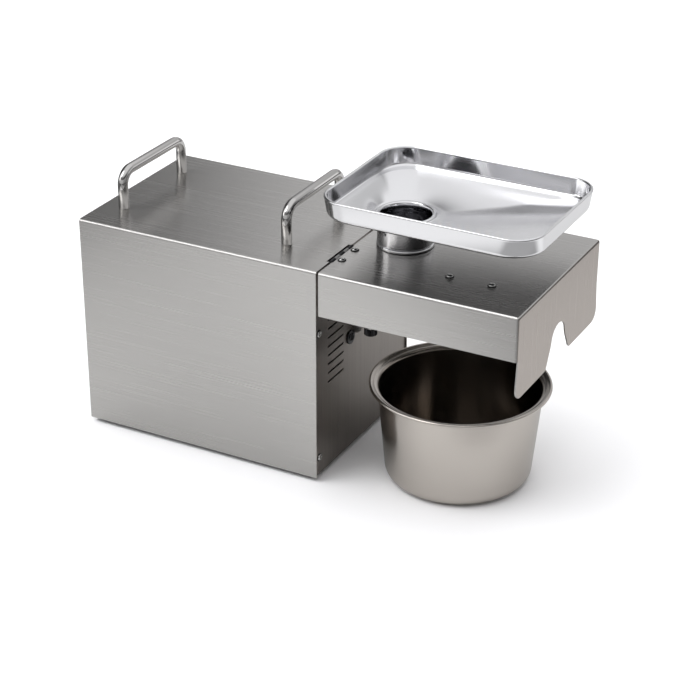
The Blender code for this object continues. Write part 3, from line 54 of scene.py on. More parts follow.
# Places are in the casing's own frame, in metres: x from the casing's left end to the press head,
# y from the front sheet to the back, z up from the table. CORNER moves them into the model's frame.
CASING_LOW, CASING_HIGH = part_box("casing_cover")
CORNER = np.array((CASING_LOW.x, CASING_LOW.y, 0.0))
CASING_TOP = CASING_HIGH.z
CASING_DEPTH = CASING_HIGH.y - CASING_LOW.y
AXIS_Y = CASING_DEPTH / 2
TRAY_LOW, TRAY_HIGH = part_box("feed_tray")
POT_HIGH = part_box("oil_pot")[1]

# What stands on the casing or the guard keeps a hair's breadth from the sheet, so it starts at SHEET_TOP
SHEET_TOP = CASING_TOP + 0.0003

# The camera fitted to the photograph: its place, its picture's right, down and forward, and its lens
CAMERA_PLACE = (1.0001, -1.3654, 0.9320)
CAMERA_RIGHT = (0.88441, 0.46671, 0.00344)
CAMERA_DOWN = (0.21483, -0.40054, -0.89074)
CAMERA_FORWARD = (-0.41434, 0.78852, -0.45450)
CAMERA_LENS = 101.507
CAMERA_FILM = 36.0

# The lights, in the model's frame
SUN_PLACE = (-0.45, 0.15, 1.6)
SUN_TARGET = (0.0, 0.0, 0.0)
SOFTBOX_PLACE = (-1.5, -0.9, 0.9)
SOFTBOX_TARGET = (0.0, 0.0, 0.1)
SOFTBOX_SIZE = 0.9

# The floor is a sheet just under the feet. The metal mirrors it with painted shade, whose tones change at
# FLOOR_STOPS, counted along FLOOR_SLANT, and go dark towards the first value of each end, which is a place
# along x. All of these count from the casing's corner.
FLOOR_LEVEL = -0.0002
FLOOR_REACH = 40.0
FLOOR_SLANT = (1.0, -0.9, 0.0)
FLOOR_STOPS = (0.20, 0.40, 0.47, 0.62)
FLOOR_LEFT_END = (-0.40, -0.20)
FLOOR_RIGHT_END = (0.95, 0.70)
FLOOR_END_SHADE = 0.10

# The room that the metal mirrors. Each line says where a change starts and ends, along one part of the
# direction looked in, and then the value at its start and at its end.
BACK_WALL_BY_X = (-0.53, -0.42, 0.03, 0.62)
FRONT_WALL_BY_X = (-0.60, 0.60, 0.30, 0.14)
WALLS_MEET_BY_Y = (-0.15, 0.15, 0.0, 1.0)
CEILING_BY_X = (-0.56, -0.38, 0.26, 0.98)
BACK_SWEEP_BY_X = (-0.53, -0.43, 0.35, 0.95)
BACK_SWEEP_DIMS_BY_X = (-0.41, -0.35, 1.0, 0.45)
BACK_SWEEP_LIFTS_BY_X = (0.30, 0.55, 0.0, 0.90)
FRONT_SWEEP_BY_X = (-1.0, 1.0, 0.70, 0.55)
SWEEPS_MEET_BY_Y = (0.1, 0.4, 0.0, 1.0)
CEILING_STARTS_BY_Z = (0.20, 0.40, 0.0, 1.0)
RIGHT_END_BY_X = (0.42, 0.70, 1.0, 0.60)
LEFT_END_BY_X = (-0.95, -0.65, 0.25, 1.0)
ENDS_STOP_BY_Z = (0.62, 0.85, 0.0, 1.0)
WALL_STARTS_BY_Z = (0.29, 0.38, 0.0, 1.0)
WALL_STOPS_BY_Z = (0.52, 0.72, 1.0, 0.0)
SOFTBOX_TOWARD = (-0.42, -0.47, 0.776)
SOFTBOX_EDGE = (0.93, 0.965, 0.0, 2.2)

# How often the brushing changes in each metre along its lines and across them, on the sheets and on the pot
GRAIN_ALONG = 9.0
GRAIN_ACROSS = 2200.0
SPUN_ALONG = 8.0
SPUN_ACROSS = 1500.0

# The screws: four on the guard, four on its hinge leaves and four on the right end panel, mirrored about
# the middle of the casing's depth
GUARD_SCREW_X = (0.3555, 0.3955)
GUARD_SCREW_Y = 0.0475
HINGE_SCREW_X = 0.257
HINGE_SCREW_Y = (0.0337, 0.0583)
PANEL_FACE_X = 0.2474
PANEL_SCREW_Y = 0.0079
PANEL_SCREW_Z = (0.022, 0.1484)
HEAD_RADIUS = 0.0031
HEAD_HEIGHT = 0.0021
CROSS_DEPTH = 0.0008
CROSS_HALF_WIDTH = 0.00036
CROSS_REACH = 0.0018
CROSS_SIDE_BLUR = 0.00004
CROSS_END_BLUR = 0.00005

# The rocker switches on the left end. A rocker's face stands ROCKER_CROWN out from its pivot, reaches
# ROCKER_REACH up and down from it, and dips by ROCKER_DIP in the middle. At rest the heater's rocker is
# tilted by HEATER_TILT degrees. A mark is twice MARK_SIZE long or wide, in a line twice MARK_HALF_WIDTH wide.
ROCKER_CROWN = 0.0091
ROCKER_REACH = 0.0107
ROCKER_DIP = 0.0014
HEATER_TILT = 8.0
ROCKER_LOW, ROCKER_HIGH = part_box("motor_switch_rocker")
PIVOT_X = ROCKER_LOW.x + ROCKER_CROWN - CORNER[0]
PIVOT_Z = (ROCKER_LOW.z + ROCKER_HIGH.z) / 2
MARK_SIZE = 0.0018
MARK_HALF_WIDTH = 0.00040
MARK_RISE = 0.00015

# Plain finishes. Each has its name, colour, metallic, lowest and highest roughness, the smudges' scale and
# how far they change the colour, and then the nodes that wear it.
PLAIN_FINISHES = (
    ("zinc plate", (0.36, 0.36, 0.37), 0.9, 0.35, 0.50, 60.0, 0.06,
     ("base_plate", "motor_cradle", "gear_plate_front", "gear_plate_rear")),
    ("turned steel", (0.52, 0.52, 0.51), 1.0, 0.27, 0.34, 60.0, 0.06,
     ("barrel_collar", "press_barrel", "choke_ring", "adjusting_nut", "press_screw", "output_shaft",
      "motor_shaft", "hinge_moving_front", "hinge_moving_back", "hinge_pin_front", "hinge_pin_back",
      "output_bearing_front", "output_bearing_rear", "shaft_bearing_front", "shaft_bearing_rear")),
    ("oiled gear steel", (0.30, 0.295, 0.29), 1.0, 0.25, 0.45, 70.0, 0.06,
     ("output_gear", "intermediate_gear", "intermediate_shaft")),
    ("black oxide", (0.05, 0.05, 0.053), 0.85, 0.26, 0.42, 110.0, 0.20,
     ("lock_plunger", "hinge_fixed_front", "hinge_fixed_back", "case_bolt_front_low",
      "case_bolt_front_high", "case_bolt_back_low", "case_bolt_back_high")),
    ("cast aluminium", (0.42, 0.42, 0.44), 0.9, 0.45, 0.62, 180.0, 0.06, ("motor_body",)),
    ("brass sleeve", (0.72, 0.54, 0.26), 1.0, 0.25, 0.42, 60.0, 0.06, ("heater_band",)),
    ("black moulding", (0.022, 0.022, 0.024), 0.0, 0.36, 0.52, 220.0, 0.25,
     ("motor_switch_frame", "heater_switch_frame", "power_inlet", "cooling_fan", "motor_switch_rocker")),
    ("red moulding", (0.52, 0.03, 0.02), 0.0, 0.22, 0.34, 160.0, 0.10, ("heater_switch_rocker",)),
    ("circuit board", (0.02, 0.16, 0.07), 0.0, 0.30, 0.50, 120.0, 0.20, ("control_board",)),
    ("foot rubber", (0.025, 0.025, 0.025), 0.0, 0.60, 0.80, 140.0, 0.20,
     ("foot_left_front", "foot_left_back", "foot_right_front", "foot_right_back")),
)


# Settings that a user would change

class PressStudioSettings(bpy.types.PropertyGroup):
    """The floor, the lights and the surroundings that the polished metal reflects."""
    floor_colour: bpy.props.FloatVectorProperty(
        name="Floor colour", description="Colour of the pale floor", subtype="COLOR", size=3,
        min=0.0, max=1.0, default=(0.93, 0.93, 0.94))
    key_power: bpy.props.FloatProperty(
        name="Key light", description="Strength of the broad light overhead", default=2.00, min=0.0)
    key_spread: bpy.props.FloatProperty(
        name="Key spread", description="How wide the overhead light looks from the object", default=1.2,
        subtype="ANGLE")
    side_power: bpy.props.FloatProperty(
        name="Side light", description="Power of the softbox at the left", default=4.0, unit="POWER")
    surround: bpy.props.FloatProperty(
        name="Surroundings", description="Brightness of the room round the object", default=1.0,
        min=0.0)
    floor_mirrored: bpy.props.FloatVectorProperty(
        name="Floor in the metal", size=3, min=0.0, max=1.0, default=(0.56, 0.70, 0.30),
        description="How bright the floor looks in the metal: left, middle and right")


class PressFinishSettings(bpy.types.PropertyGroup):
    """Colours and smoothness of the metals."""
    sheet_colour: bpy.props.FloatVectorProperty(
        name="Sheet colour", description="Colour of the brushed sheet", subtype="COLOR", size=3,
        min=0.0, max=1.0, default=(0.56, 0.55, 0.535))
    sheet_roughness: bpy.props.FloatProperty(
        name="Sheet roughness", description="How dull the brushed sheet is", default=0.26,
        min=0.0, max=1.0, subtype="FACTOR")
    sheet_grain: bpy.props.FloatProperty(
        name="Sheet grain", description="How far the brushing draws reflections out across itself",
        default=0.85, min=0.0, max=1.0, subtype="FACTOR")
    mirror_colour: bpy.props.FloatVectorProperty(
        name="Polish colour", description="Colour of the polished tray", subtype="COLOR",
        size=3, min=0.0, max=1.0, default=(0.80, 0.80, 0.815))
    chrome_colour: bpy.props.FloatVectorProperty(
        name="Chrome colour", description="Colour of the chromed handles", subtype="COLOR",
        size=3, min=0.0, max=1.0, default=(0.58, 0.57, 0.56))
    pot_colour: bpy.props.FloatVectorProperty(
        name="Pot colour", description="Colour of the spun pot", subtype="COLOR", size=3,
        min=0.0, max=1.0, default=(0.59, 0.55, 0.51))


class PressTraySettings(bpy.types.PropertyGroup):
    """Sizes of the feed tray that its box doesn't give."""
    depth: bpy.props.FloatProperty(
        name="Depth", description="Rim to the floor's edge", default=0.0185, unit="LENGTH")
    dish: bpy.props.FloatProperty(
        name="Dish", description="Fall of the floor from its edge to the throat", default=0.0157,
        unit="LENGTH")
    fall: bpy.props.FloatProperty(
        name="Fall", description="Slope of the floor where it leaves the wall", default=0.50)
    shoulder: bpy.props.FloatProperty(
        name="Shoulder", description="How soon the floor leaves that slope", default=0.0060, unit="LENGTH")
    stand: bpy.props.FloatProperty(
        name="Lip stand", description="How far the lip stands out from the wall", default=0.0004,
        unit="LENGTH")
    draft: bpy.props.FloatProperty(
        name="Draft", description="How far the wall leans in", default=0.0010, unit="LENGTH")
    cove: bpy.props.FloatProperty(
        name="Cove", description="Radius between wall and floor", default=0.0050, unit="LENGTH")
    corner: bpy.props.FloatProperty(
        name="Corner", description="Corner radius at the rim", default=0.0270, unit="LENGTH")
    corner_foot: bpy.props.FloatProperty(
        name="Foot corner", description="Corner radius where the wall meets the floor", default=0.0300,
        unit="LENGTH")
    bead: bpy.props.FloatProperty(
        name="Bead", description="Radius of the rolled rim", default=0.0012, unit="LENGTH")
    neck: bpy.props.FloatProperty(
        name="Neck", description="Outer radius of the neck", default=0.0258, unit="LENGTH")
    ring_stand: bpy.props.FloatProperty(
        name="Base ring", description="How far the ring at the neck's foot stands out", default=0.0005,
        unit="LENGTH")
    ring_height: bpy.props.FloatProperty(
        name="Base ring height", description="Height of the ring at the neck's foot", default=0.0034,
        unit="LENGTH")
    spigot: bpy.props.FloatProperty(
        name="Spigot", description="Outer radius of the spigot", default=0.0200, unit="LENGTH")
    neck_x: bpy.props.FloatProperty(
        name="Neck place", description="Neck axis along the casing", default=0.2905, unit="LENGTH")


class PressPotSettings(bpy.types.PropertyGroup):
    """Sizes of the oil pot."""
    x: bpy.props.FloatProperty(name="Along", description="Centre of the pot along the casing",
                               default=0.3550, unit="LENGTH")
    y: bpy.props.FloatProperty(name="Across", description="Centre of the pot from the front",
                               default=0.0790, unit="LENGTH")
    rim: bpy.props.FloatProperty(name="Rim", description="Radius of the turned-out lip",
                                 default=0.0834, unit="LENGTH")
    top: bpy.props.FloatProperty(name="Top", description="Radius of the wall below the lip",
                                 default=0.0745, unit="LENGTH")
    base: bpy.props.FloatProperty(name="Base", description="Radius of the foot",
                                  default=0.0680, unit="LENGTH")


class PressHandleSettings(bpy.types.PropertyGroup):
    """Sizes of the carrying handles."""
    span: bpy.props.FloatProperty(name="Span", description="Distance between the legs",
                                  default=0.101, unit="LENGTH")
    rise: bpy.props.FloatProperty(name="Rise", description="Height above the casing",
                                  default=0.040, unit="LENGTH")
    bar: bpy.props.FloatProperty(name="Bar", description="Radius of the round bar",
                                 default=0.0049, unit="LENGTH")
    bend: bpy.props.FloatProperty(name="Bend", description="Radius of the bends at the bar's centre line",
                                  default=0.013, unit="LENGTH")


# Meshes from whole arrays

def surface(name, points, rows_closed=False, columns_closed=True):
    """A mesh over a grid of points: one quad for each cell, wrapped where a direction is closed."""
    rows, columns = points.shape[:2]
    i = np.arange(rows if rows_closed else rows - 1)
    j = np.arange(columns if columns_closed else columns - 1)
    i, j = (a.ravel() for a in np.meshgrid(i, j, indexing="ij"))
    down = (i + 1) % rows
    right = (j + 1) % columns
    quads = np.stack((i * columns + j, i * columns + right,
                      down * columns + right, down * columns + j), axis=1)
    mesh = bpy.data.meshes.new(name)
    mesh.from_pydata((points.reshape(-1, 3) + CORNER).tolist(), [], quads.tolist())
    mesh.polygons.foreach_set("use_smooth", np.ones(len(quads), bool))
    mesh.validate()
    piece = bpy.data.objects.new(name, mesh)
    bpy.context.scene.collection.objects.link(piece)
    return piece


def lathe(name, profile, centre, turns=128, axis="Z"):
    """A profile of (radius, height) turned round an axis; points at radius zero close as poles."""
    profile = np.asarray(profile, dtype=float)
    angle = np.linspace(0.0, 2.0 * np.pi, turns, endpoint=False)
    radius = profile[:, 0][:, None]
    height = np.broadcast_to(profile[:, 1][:, None], (len(profile), turns))
    across = radius * np.cos(angle)
    along = radius * np.sin(angle)
    order = {"Z": (across, along, height), "X": (height, across, along)}[axis]
    piece = surface(name, np.stack(order, axis=-1) + np.asarray(centre))
    tidy(piece)
    return piece


def tidy(piece):
    """Closes poles and seams by merging doubles, then points the faces outwards."""
    work = bmesh.new()
    work.from_mesh(piece.data)
    bmesh.ops.remove_doubles(work, verts=work.verts, dist=1e-6)
    bmesh.ops.dissolve_degenerate(work, edges=work.edges, dist=1e-7)
    bmesh.ops.recalc_face_normals(work, faces=work.faces)
    work.to_mesh(piece.data)
    work.free()
    piece.data.polygons.foreach_set("use_smooth", np.ones(len(piece.data.polygons), bool))


def arc(centre, radius, start, end, count):
    """Points on a circle between two angles in degrees: centre + radius (cos a, sin a)."""
    angle = np.radians(np.linspace(start, end, count))
    return np.stack((centre[0] + radius * np.cos(angle), centre[1] + radius * np.sin(angle)), axis=1)


def rounded_rectangle(half_x, half_y, radius, count):
    """Points at even spacing round a rectangle with circular corners, starting at the +x side."""
    straight_x = 2.0 * (half_x - radius)
    straight_y = 2.0 * (half_y - radius)
    quarter = np.pi * radius / 2.0
    lengths = np.array((straight_y / 2, quarter, straight_x, quarter, straight_y,
                        quarter, straight_x, quarter, straight_y / 2))
    ends = np.concatenate(([0.0], np.cumsum(lengths)))
    along = np.linspace(0.0, ends[-1], count, endpoint=False)
    part = np.clip(np.searchsorted(ends, along, side="right") - 1, 0, 8)
    share = (along - ends[part]) / np.maximum(lengths[part], 1e-9)
    kx, ky = half_x - radius, half_y - radius
    # A straight side runs from begin to finish, and a corner turns round begin
    begin = np.array(((half_x, 0.0), (kx, ky), (kx, half_y), (-kx, ky), (-half_x, ky), (-kx, -ky),
                      (-kx, -half_y), (kx, -ky), (half_x, -ky)))
    finish = np.array(((half_x, ky), (0, 0), (-kx, half_y), (0, 0), (-half_x, -ky), (0, 0),
                       (kx, -half_y), (0, 0), (half_x, 0.0)))
    first_angle = np.radians(np.array((0, 0, 0, 90, 0, 180, 0, 270, 0)))[part]
    angle = first_angle + share * np.pi / 2
    straight = begin[part] + (finish[part] - begin[part]) * share[:, None]
    round_part = begin[part] + radius * np.stack((np.cos(angle), np.sin(angle)), axis=1)
    return np.where((part % 2 == 1)[:, None], round_part, straight)


# Node groups and materials

def feed(tree, source, socket):
    """Links a source to a socket, or sets the socket where the source is a plain value."""
    if isinstance(source, bpy.types.NodeSocket):
        tree.links.new(source, socket)
    else:
        socket.default_value = source


def step(tree, operation, *sources):
    """One arithmetic step on single values."""
    node = tree.nodes.new("ShaderNodeMath")
    node.operation = operation
    for source, socket in zip(sources, node.inputs):
        feed(tree, source, socket)
    return node.outputs[0]


def vector_step(tree, operation, *sources):
    """One step on vectors; a dot product comes out as a single value."""
    node = tree.nodes.new("ShaderNodeVectorMath")
    node.operation = operation
    for source, socket in zip(sources, node.inputs):
        feed(tree, source, socket)
    return node.outputs["Value" if operation == "DOT_PRODUCT" else "Vector"]


def mixed(tree, kind, share, first, second, blend="MIX"):
    """Runs from the first source to the second as the share goes from nothing to one."""
    node = tree.nodes.new("ShaderNodeMix")
    node.data_type = kind
    node.blend_type = blend
    for source, label in ((share, "Factor"), (first, "A"), (second, "B")):
        feed(tree, source, node.inputs[label])
    return node.outputs["Result"]


def ramp(tree, value, low, high, to_low=0.0, to_high=1.0, smooth=False):
    """Runs from one value to another as a source goes from low to high, and stays level outside."""
    node = tree.nodes.new("ShaderNodeMapRange")
    node.interpolation_type = "SMOOTHSTEP" if smooth else "LINEAR"
    for source, label in ((value, "Value"), (low, "From Min"), (high, "From Max"),
                          (to_low, "To Min"), (to_high, "To Max")):
        feed(tree, source, node.inputs[label])
    return node.outputs["Result"]


def noise(tree, vector, scale, detail):
    """Soft noise round one half."""
    node = tree.nodes.new("ShaderNodeTexNoise")
    for source, label in ((vector, "Vector"), (scale, "Scale"), (detail, "Detail")):
        feed(tree, source, node.inputs[label])
    return node.outputs["Fac"]


def bump(tree, height, strength, distance):
    """A normal that follows a height."""
    node = tree.nodes.new("ShaderNodeBump")
    for source, label in ((height, "Height"), (strength, "Strength"), (distance, "Distance")):
        feed(tree, source, node.inputs[label])
    return node.outputs["Normal"]


def part_of(tree, vector, part):
    """One of a vector's parts."""
    split = tree.nodes.new("ShaderNodeSeparateXYZ")
    tree.links.new(vector, split.inputs["Vector"])
    return split.outputs[part]


def new_group(name, inputs, outputs):
    """A shader node group with named sockets; returns the group and its two ends."""
    group = bpy.data.node_groups.new(name, "ShaderNodeTree")
    for label, kind, default in inputs:
        socket = group.interface.new_socket(label, in_out="INPUT", socket_type=kind)
        if default is not None:
            socket.default_value = default
    for label, kind in outputs:
        group.interface.new_socket(label, in_out="OUTPUT", socket_type=kind)
    return group, group.nodes.new("NodeGroupInput"), group.nodes.new("NodeGroupOutput")


def grain_group():
    """Brushed grain: noise stretched along the brushing, in fine lines and in broad soft bands."""
    if "brushed grain" in bpy.data.node_groups:
        return bpy.data.node_groups["brushed grain"]
    group, start, end = new_group(
        "brushed grain",
        [("Vector", "NodeSocketVector", None), ("Stretch", "NodeSocketVector", None),
         ("Depth", "NodeSocketFloat", 0.15), ("Roughness", "NodeSocketFloat", 0.3),
         ("Spread", "NodeSocketFloat", 0.1)],
        [("Roughness", "NodeSocketFloat"), ("Normal", "NodeSocketVector"), ("Mask", "NodeSocketFloat")])
    stretched = vector_step(group, "MULTIPLY", start.outputs["Vector"], start.outputs["Stretch"])
    fine = noise(group, stretched, 1.0, 1.0)
    broad = noise(group, vector_step(group, "MULTIPLY", stretched, (0.25, 0.25, 0.25)), 1.0, 3.0)
    lines = mixed(group, "FLOAT", 0.45, fine, broad)
    wander = step(group, "MULTIPLY_ADD", step(group, "SUBTRACT", lines, 0.5),
                  start.outputs["Spread"], start.outputs["Roughness"])
    feed(group, wander, end.inputs["Roughness"])
    feed(group, bump(group, fine, start.outputs["Depth"], 0.00012), end.inputs["Normal"])
    feed(group, lines, end.inputs["Mask"])
    return group


def wear_group():
    """Handling marks: soft smudges that change the roughness, and the slight ripples of pressed sheet."""
    if "handling marks" in bpy.data.node_groups:
        return bpy.data.node_groups["handling marks"]
    group, start, end = new_group(
        "handling marks",
        [("Vector", "NodeSocketVector", None), ("Scale", "NodeSocketFloat", 30.0),
         ("Low", "NodeSocketFloat", 0.2), ("High", "NodeSocketFloat", 0.3),
         ("Ripple", "NodeSocketFloat", 0.0)],
        [("Roughness", "NodeSocketFloat"), ("Mask", "NodeSocketFloat"), ("Normal", "NodeSocketVector")])
    smudge = noise(group, start.outputs["Vector"], start.outputs["Scale"], 5.0)
    spread = ramp(group, smudge, 0.3, 0.7, start.outputs["Low"], start.outputs["High"])
    feed(group, spread, end.inputs["Roughness"])
    feed(group, smudge, end.inputs["Mask"])
    feed(group, bump(group, smudge, start.outputs["Ripple"], 0.001), end.inputs["Normal"])
    return group


def placed(tree, group, values):
    """A group set in a material with its own values."""
    node = tree.nodes.new("ShaderNodeGroup")
    node.node_tree = group
    for label, value in values.items():
        feed(tree, value, node.inputs[label])
    return node


def blank_material(name, colour, metallic, roughness):
    """A new material: returns it, its tree, its Principled shader and the piece's coordinates."""
    material = bpy.data.materials.new(name)
    material.use_nodes = True
    tree = material.node_tree
    shader = tree.nodes["Principled BSDF"]
    shader.inputs["Base Color"].default_value = (*colour, 1.0)
    shader.inputs["Metallic"].default_value = metallic
    shader.inputs["Roughness"].default_value = roughness
    return material, tree, shader, tree.nodes.new("ShaderNodeTexCoord")


def tinted(tree, shader, mask, colour, swing):
    """Feeds Base Color from a mask that runs between a darker and a lighter version of one colour."""
    darker = (*[part * (1 - swing) for part in colour], 1.0)
    lighter = (*[min(1.0, part * (1 + swing)) for part in colour], 1.0)
    feed(tree, mixed(tree, "RGBA", mask, darker, lighter), shader.inputs["Base Color"])


def shaded(tree, shader, mask, colour):
    """Multiplies Base Color by another colour where the mask is one; this paints shade into the colour."""
    before = shader.inputs["Base Color"].links[0].from_socket
    after = mixed(tree, "RGBA", mask, before, (*colour, 1.0), "MULTIPLY")
    feed(tree, after, shader.inputs["Base Color"])


def facing(tree, place, part, low, high):
    """Runs from nothing to one as a part of the face's own direction goes from low to high."""
    return ramp(tree, part_of(tree, place.outputs["Normal"], part), low, high)


def from_axis(tree, place, centre):
    """The level way from an upright axis to the surface."""
    out = vector_step(tree, "SUBTRACT", place.outputs["Object"], centre)
    return vector_step(tree, "MULTIPLY", out, (1.0, 1.0, 0.0))


def facing_axis(tree, place, out):
    """One on the inside of a turned wall, where faces look at their axis, and nothing outside."""
    level = vector_step(tree, "NORMALIZE", out)
    return ramp(tree, vector_step(tree, "DOT_PRODUCT", level, place.outputs["Normal"]), -0.30, -0.75)


def grain_along(tree, shader, direction, amount):
    """Makes the grain's direction on the piece the shader's tangent; reflections draw out across it."""
    turn = tree.nodes.new("ShaderNodeVectorTransform")
    turn.vector_type = "VECTOR"
    turn.convert_from = "OBJECT"
    turn.convert_to = "WORLD"
    feed(tree, direction, turn.inputs["Vector"])
    feed(tree, turn.outputs["Vector"], shader.inputs["Tangent"])
    shader.inputs["Anisotropic"].default_value = amount
    shader.inputs["Anisotropic Rotation"].default_value = 0.25


def grained(name, colour, roughness, depth, spread, swing):
    """Brushed metal whose grain has no direction yet: the material, its parts and the grain group."""
    material, tree, shader, place = blank_material(name, colour, 1.0, roughness)
    grain = placed(tree, grain_group(), {"Vector": place.outputs["Object"], "Depth": depth,
                                         "Roughness": roughness, "Spread": spread})
    feed(tree, grain.outputs["Roughness"], shader.inputs["Roughness"])
    feed(tree, grain.outputs["Normal"], shader.inputs["Normal"])
    tinted(tree, shader, grain.outputs["Mask"], colour, swing)
    return material, tree, shader, place, grain


def brushed_folded(name, colour, end_shade_colour, roughness, amount):
    """Sheet brushed along x and then folded: on the end that is folded down, the grain stands upright and the
    colour is darker and warmer, as painted shade, and a painted shade line runs along the top of that end, at
    the fold."""
    material, tree, shader, place, grain = grained(name, colour, roughness, 0.15, 0.09, 0.10)
    end = facing(tree, place, "X", 0.70, 0.80)
    stretch = mixed(tree, "VECTOR", end, (GRAIN_ALONG, GRAIN_ACROSS, GRAIN_ACROSS),
                    (GRAIN_ACROSS, GRAIN_ACROSS, GRAIN_ALONG))
    feed(tree, stretch, grain.inputs["Stretch"])
    grain_along(tree, shader, mixed(tree, "VECTOR", end, (1.0, 0.0, 0.0), (0.0, 0.0, 1.0)), amount)
    # Painted shade: the folded-down end gets a darker, warmer copy of the sheet's colour.
    shaded(tree, shader, end, [folded / flat for flat, folded in zip(colour, end_shade_colour)])
    # Painted shade: a dark line along the top of the folded-down end, at the fold.
    height = part_of(tree, place.outputs["Object"], "Z")
    fold = ramp(tree, height, CASING_TOP - 0.0022, CASING_TOP - 0.0012)
    shaded(tree, shader, step(tree, "MULTIPLY", end, fold), (0.22, 0.21, 0.20))
    return material


def brushed_upright(name, colour, roughness, amount):
    """Flat sheet with coarse upright grain."""
    material, tree, shader, place, grain = grained(name, colour, roughness, 0.30, 0.14, 0.30)
    grain.inputs["Stretch"].default_value = (GRAIN_ACROSS, GRAIN_ACROSS, GRAIN_ALONG)
    grain_along(tree, shader, (0.0, 0.0, 1.0), amount)
    return material


def brushed_round(name, colour, roughness, amount, centre):
    """Spun metal: fine rings round an upright axis, with the grain running round it, and painted shade on the
    inside.
    """
    material, tree, shader, place, grain = grained(name, colour, roughness, 0.08, 0.06, 0.04)
    grain.inputs["Stretch"].default_value = (SPUN_ALONG, SPUN_ALONG, SPUN_ACROSS)
    out = from_axis(tree, place, centre)
    grain_along(tree, shader, vector_step(tree, "CROSS_PRODUCT", out, (0.0, 0.0, 1.0)), amount)
    # Painted shade on the inside of the pot's wall, where faces look at its axis.
    shaded(tree, shader, facing_axis(tree, place, out), (0.42, 0.40, 0.38))
    return material


def worn(name, colour, metallic, low, high, scale, swing=0.06, ripple=0.0):
    """A plain or polished finish with smudges that change its roughness between low and high."""
    material, tree, shader, place = blank_material(name, colour, metallic, low)
    marks = placed(tree, wear_group(), {"Vector": place.outputs["Object"], "Scale": scale, "Low": low,
                                        "High": high, "Ripple": ripple})
    feed(tree, marks.outputs["Roughness"], shader.inputs["Roughness"])
    if ripple:
        feed(tree, marks.outputs["Normal"], shader.inputs["Normal"])
    tinted(tree, shader, marks.outputs["Mask"], colour, swing)
    return material


def wear_finish(piece, material):
    """Gives a piece its only material."""
    piece.data.materials.clear()
    piece.data.materials.append(material)


def dress(names, material):
    """Gives CAD nodes a finish; they are welded, split at sharp folds, and have their normals weighed by
    area, so that bends shade smoothly."""
    for name in names:
        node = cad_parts[name]
        wear_finish(node, material)
        node.data.polygons.foreach_set("use_smooth", np.ones(len(node.data.polygons), bool))
        weld = node.modifiers.new("weld", "WELD")
        weld.merge_threshold = 0.00001
        split = node.modifiers.new("folds", "EDGE_SPLIT")
        split.split_angle = math.radians(32.0)
        weigh = node.modifiers.new("flat faces", "WEIGHTED_NORMAL")
        weigh.keep_sharp = True


# Operators, one for each piece or group of like pieces

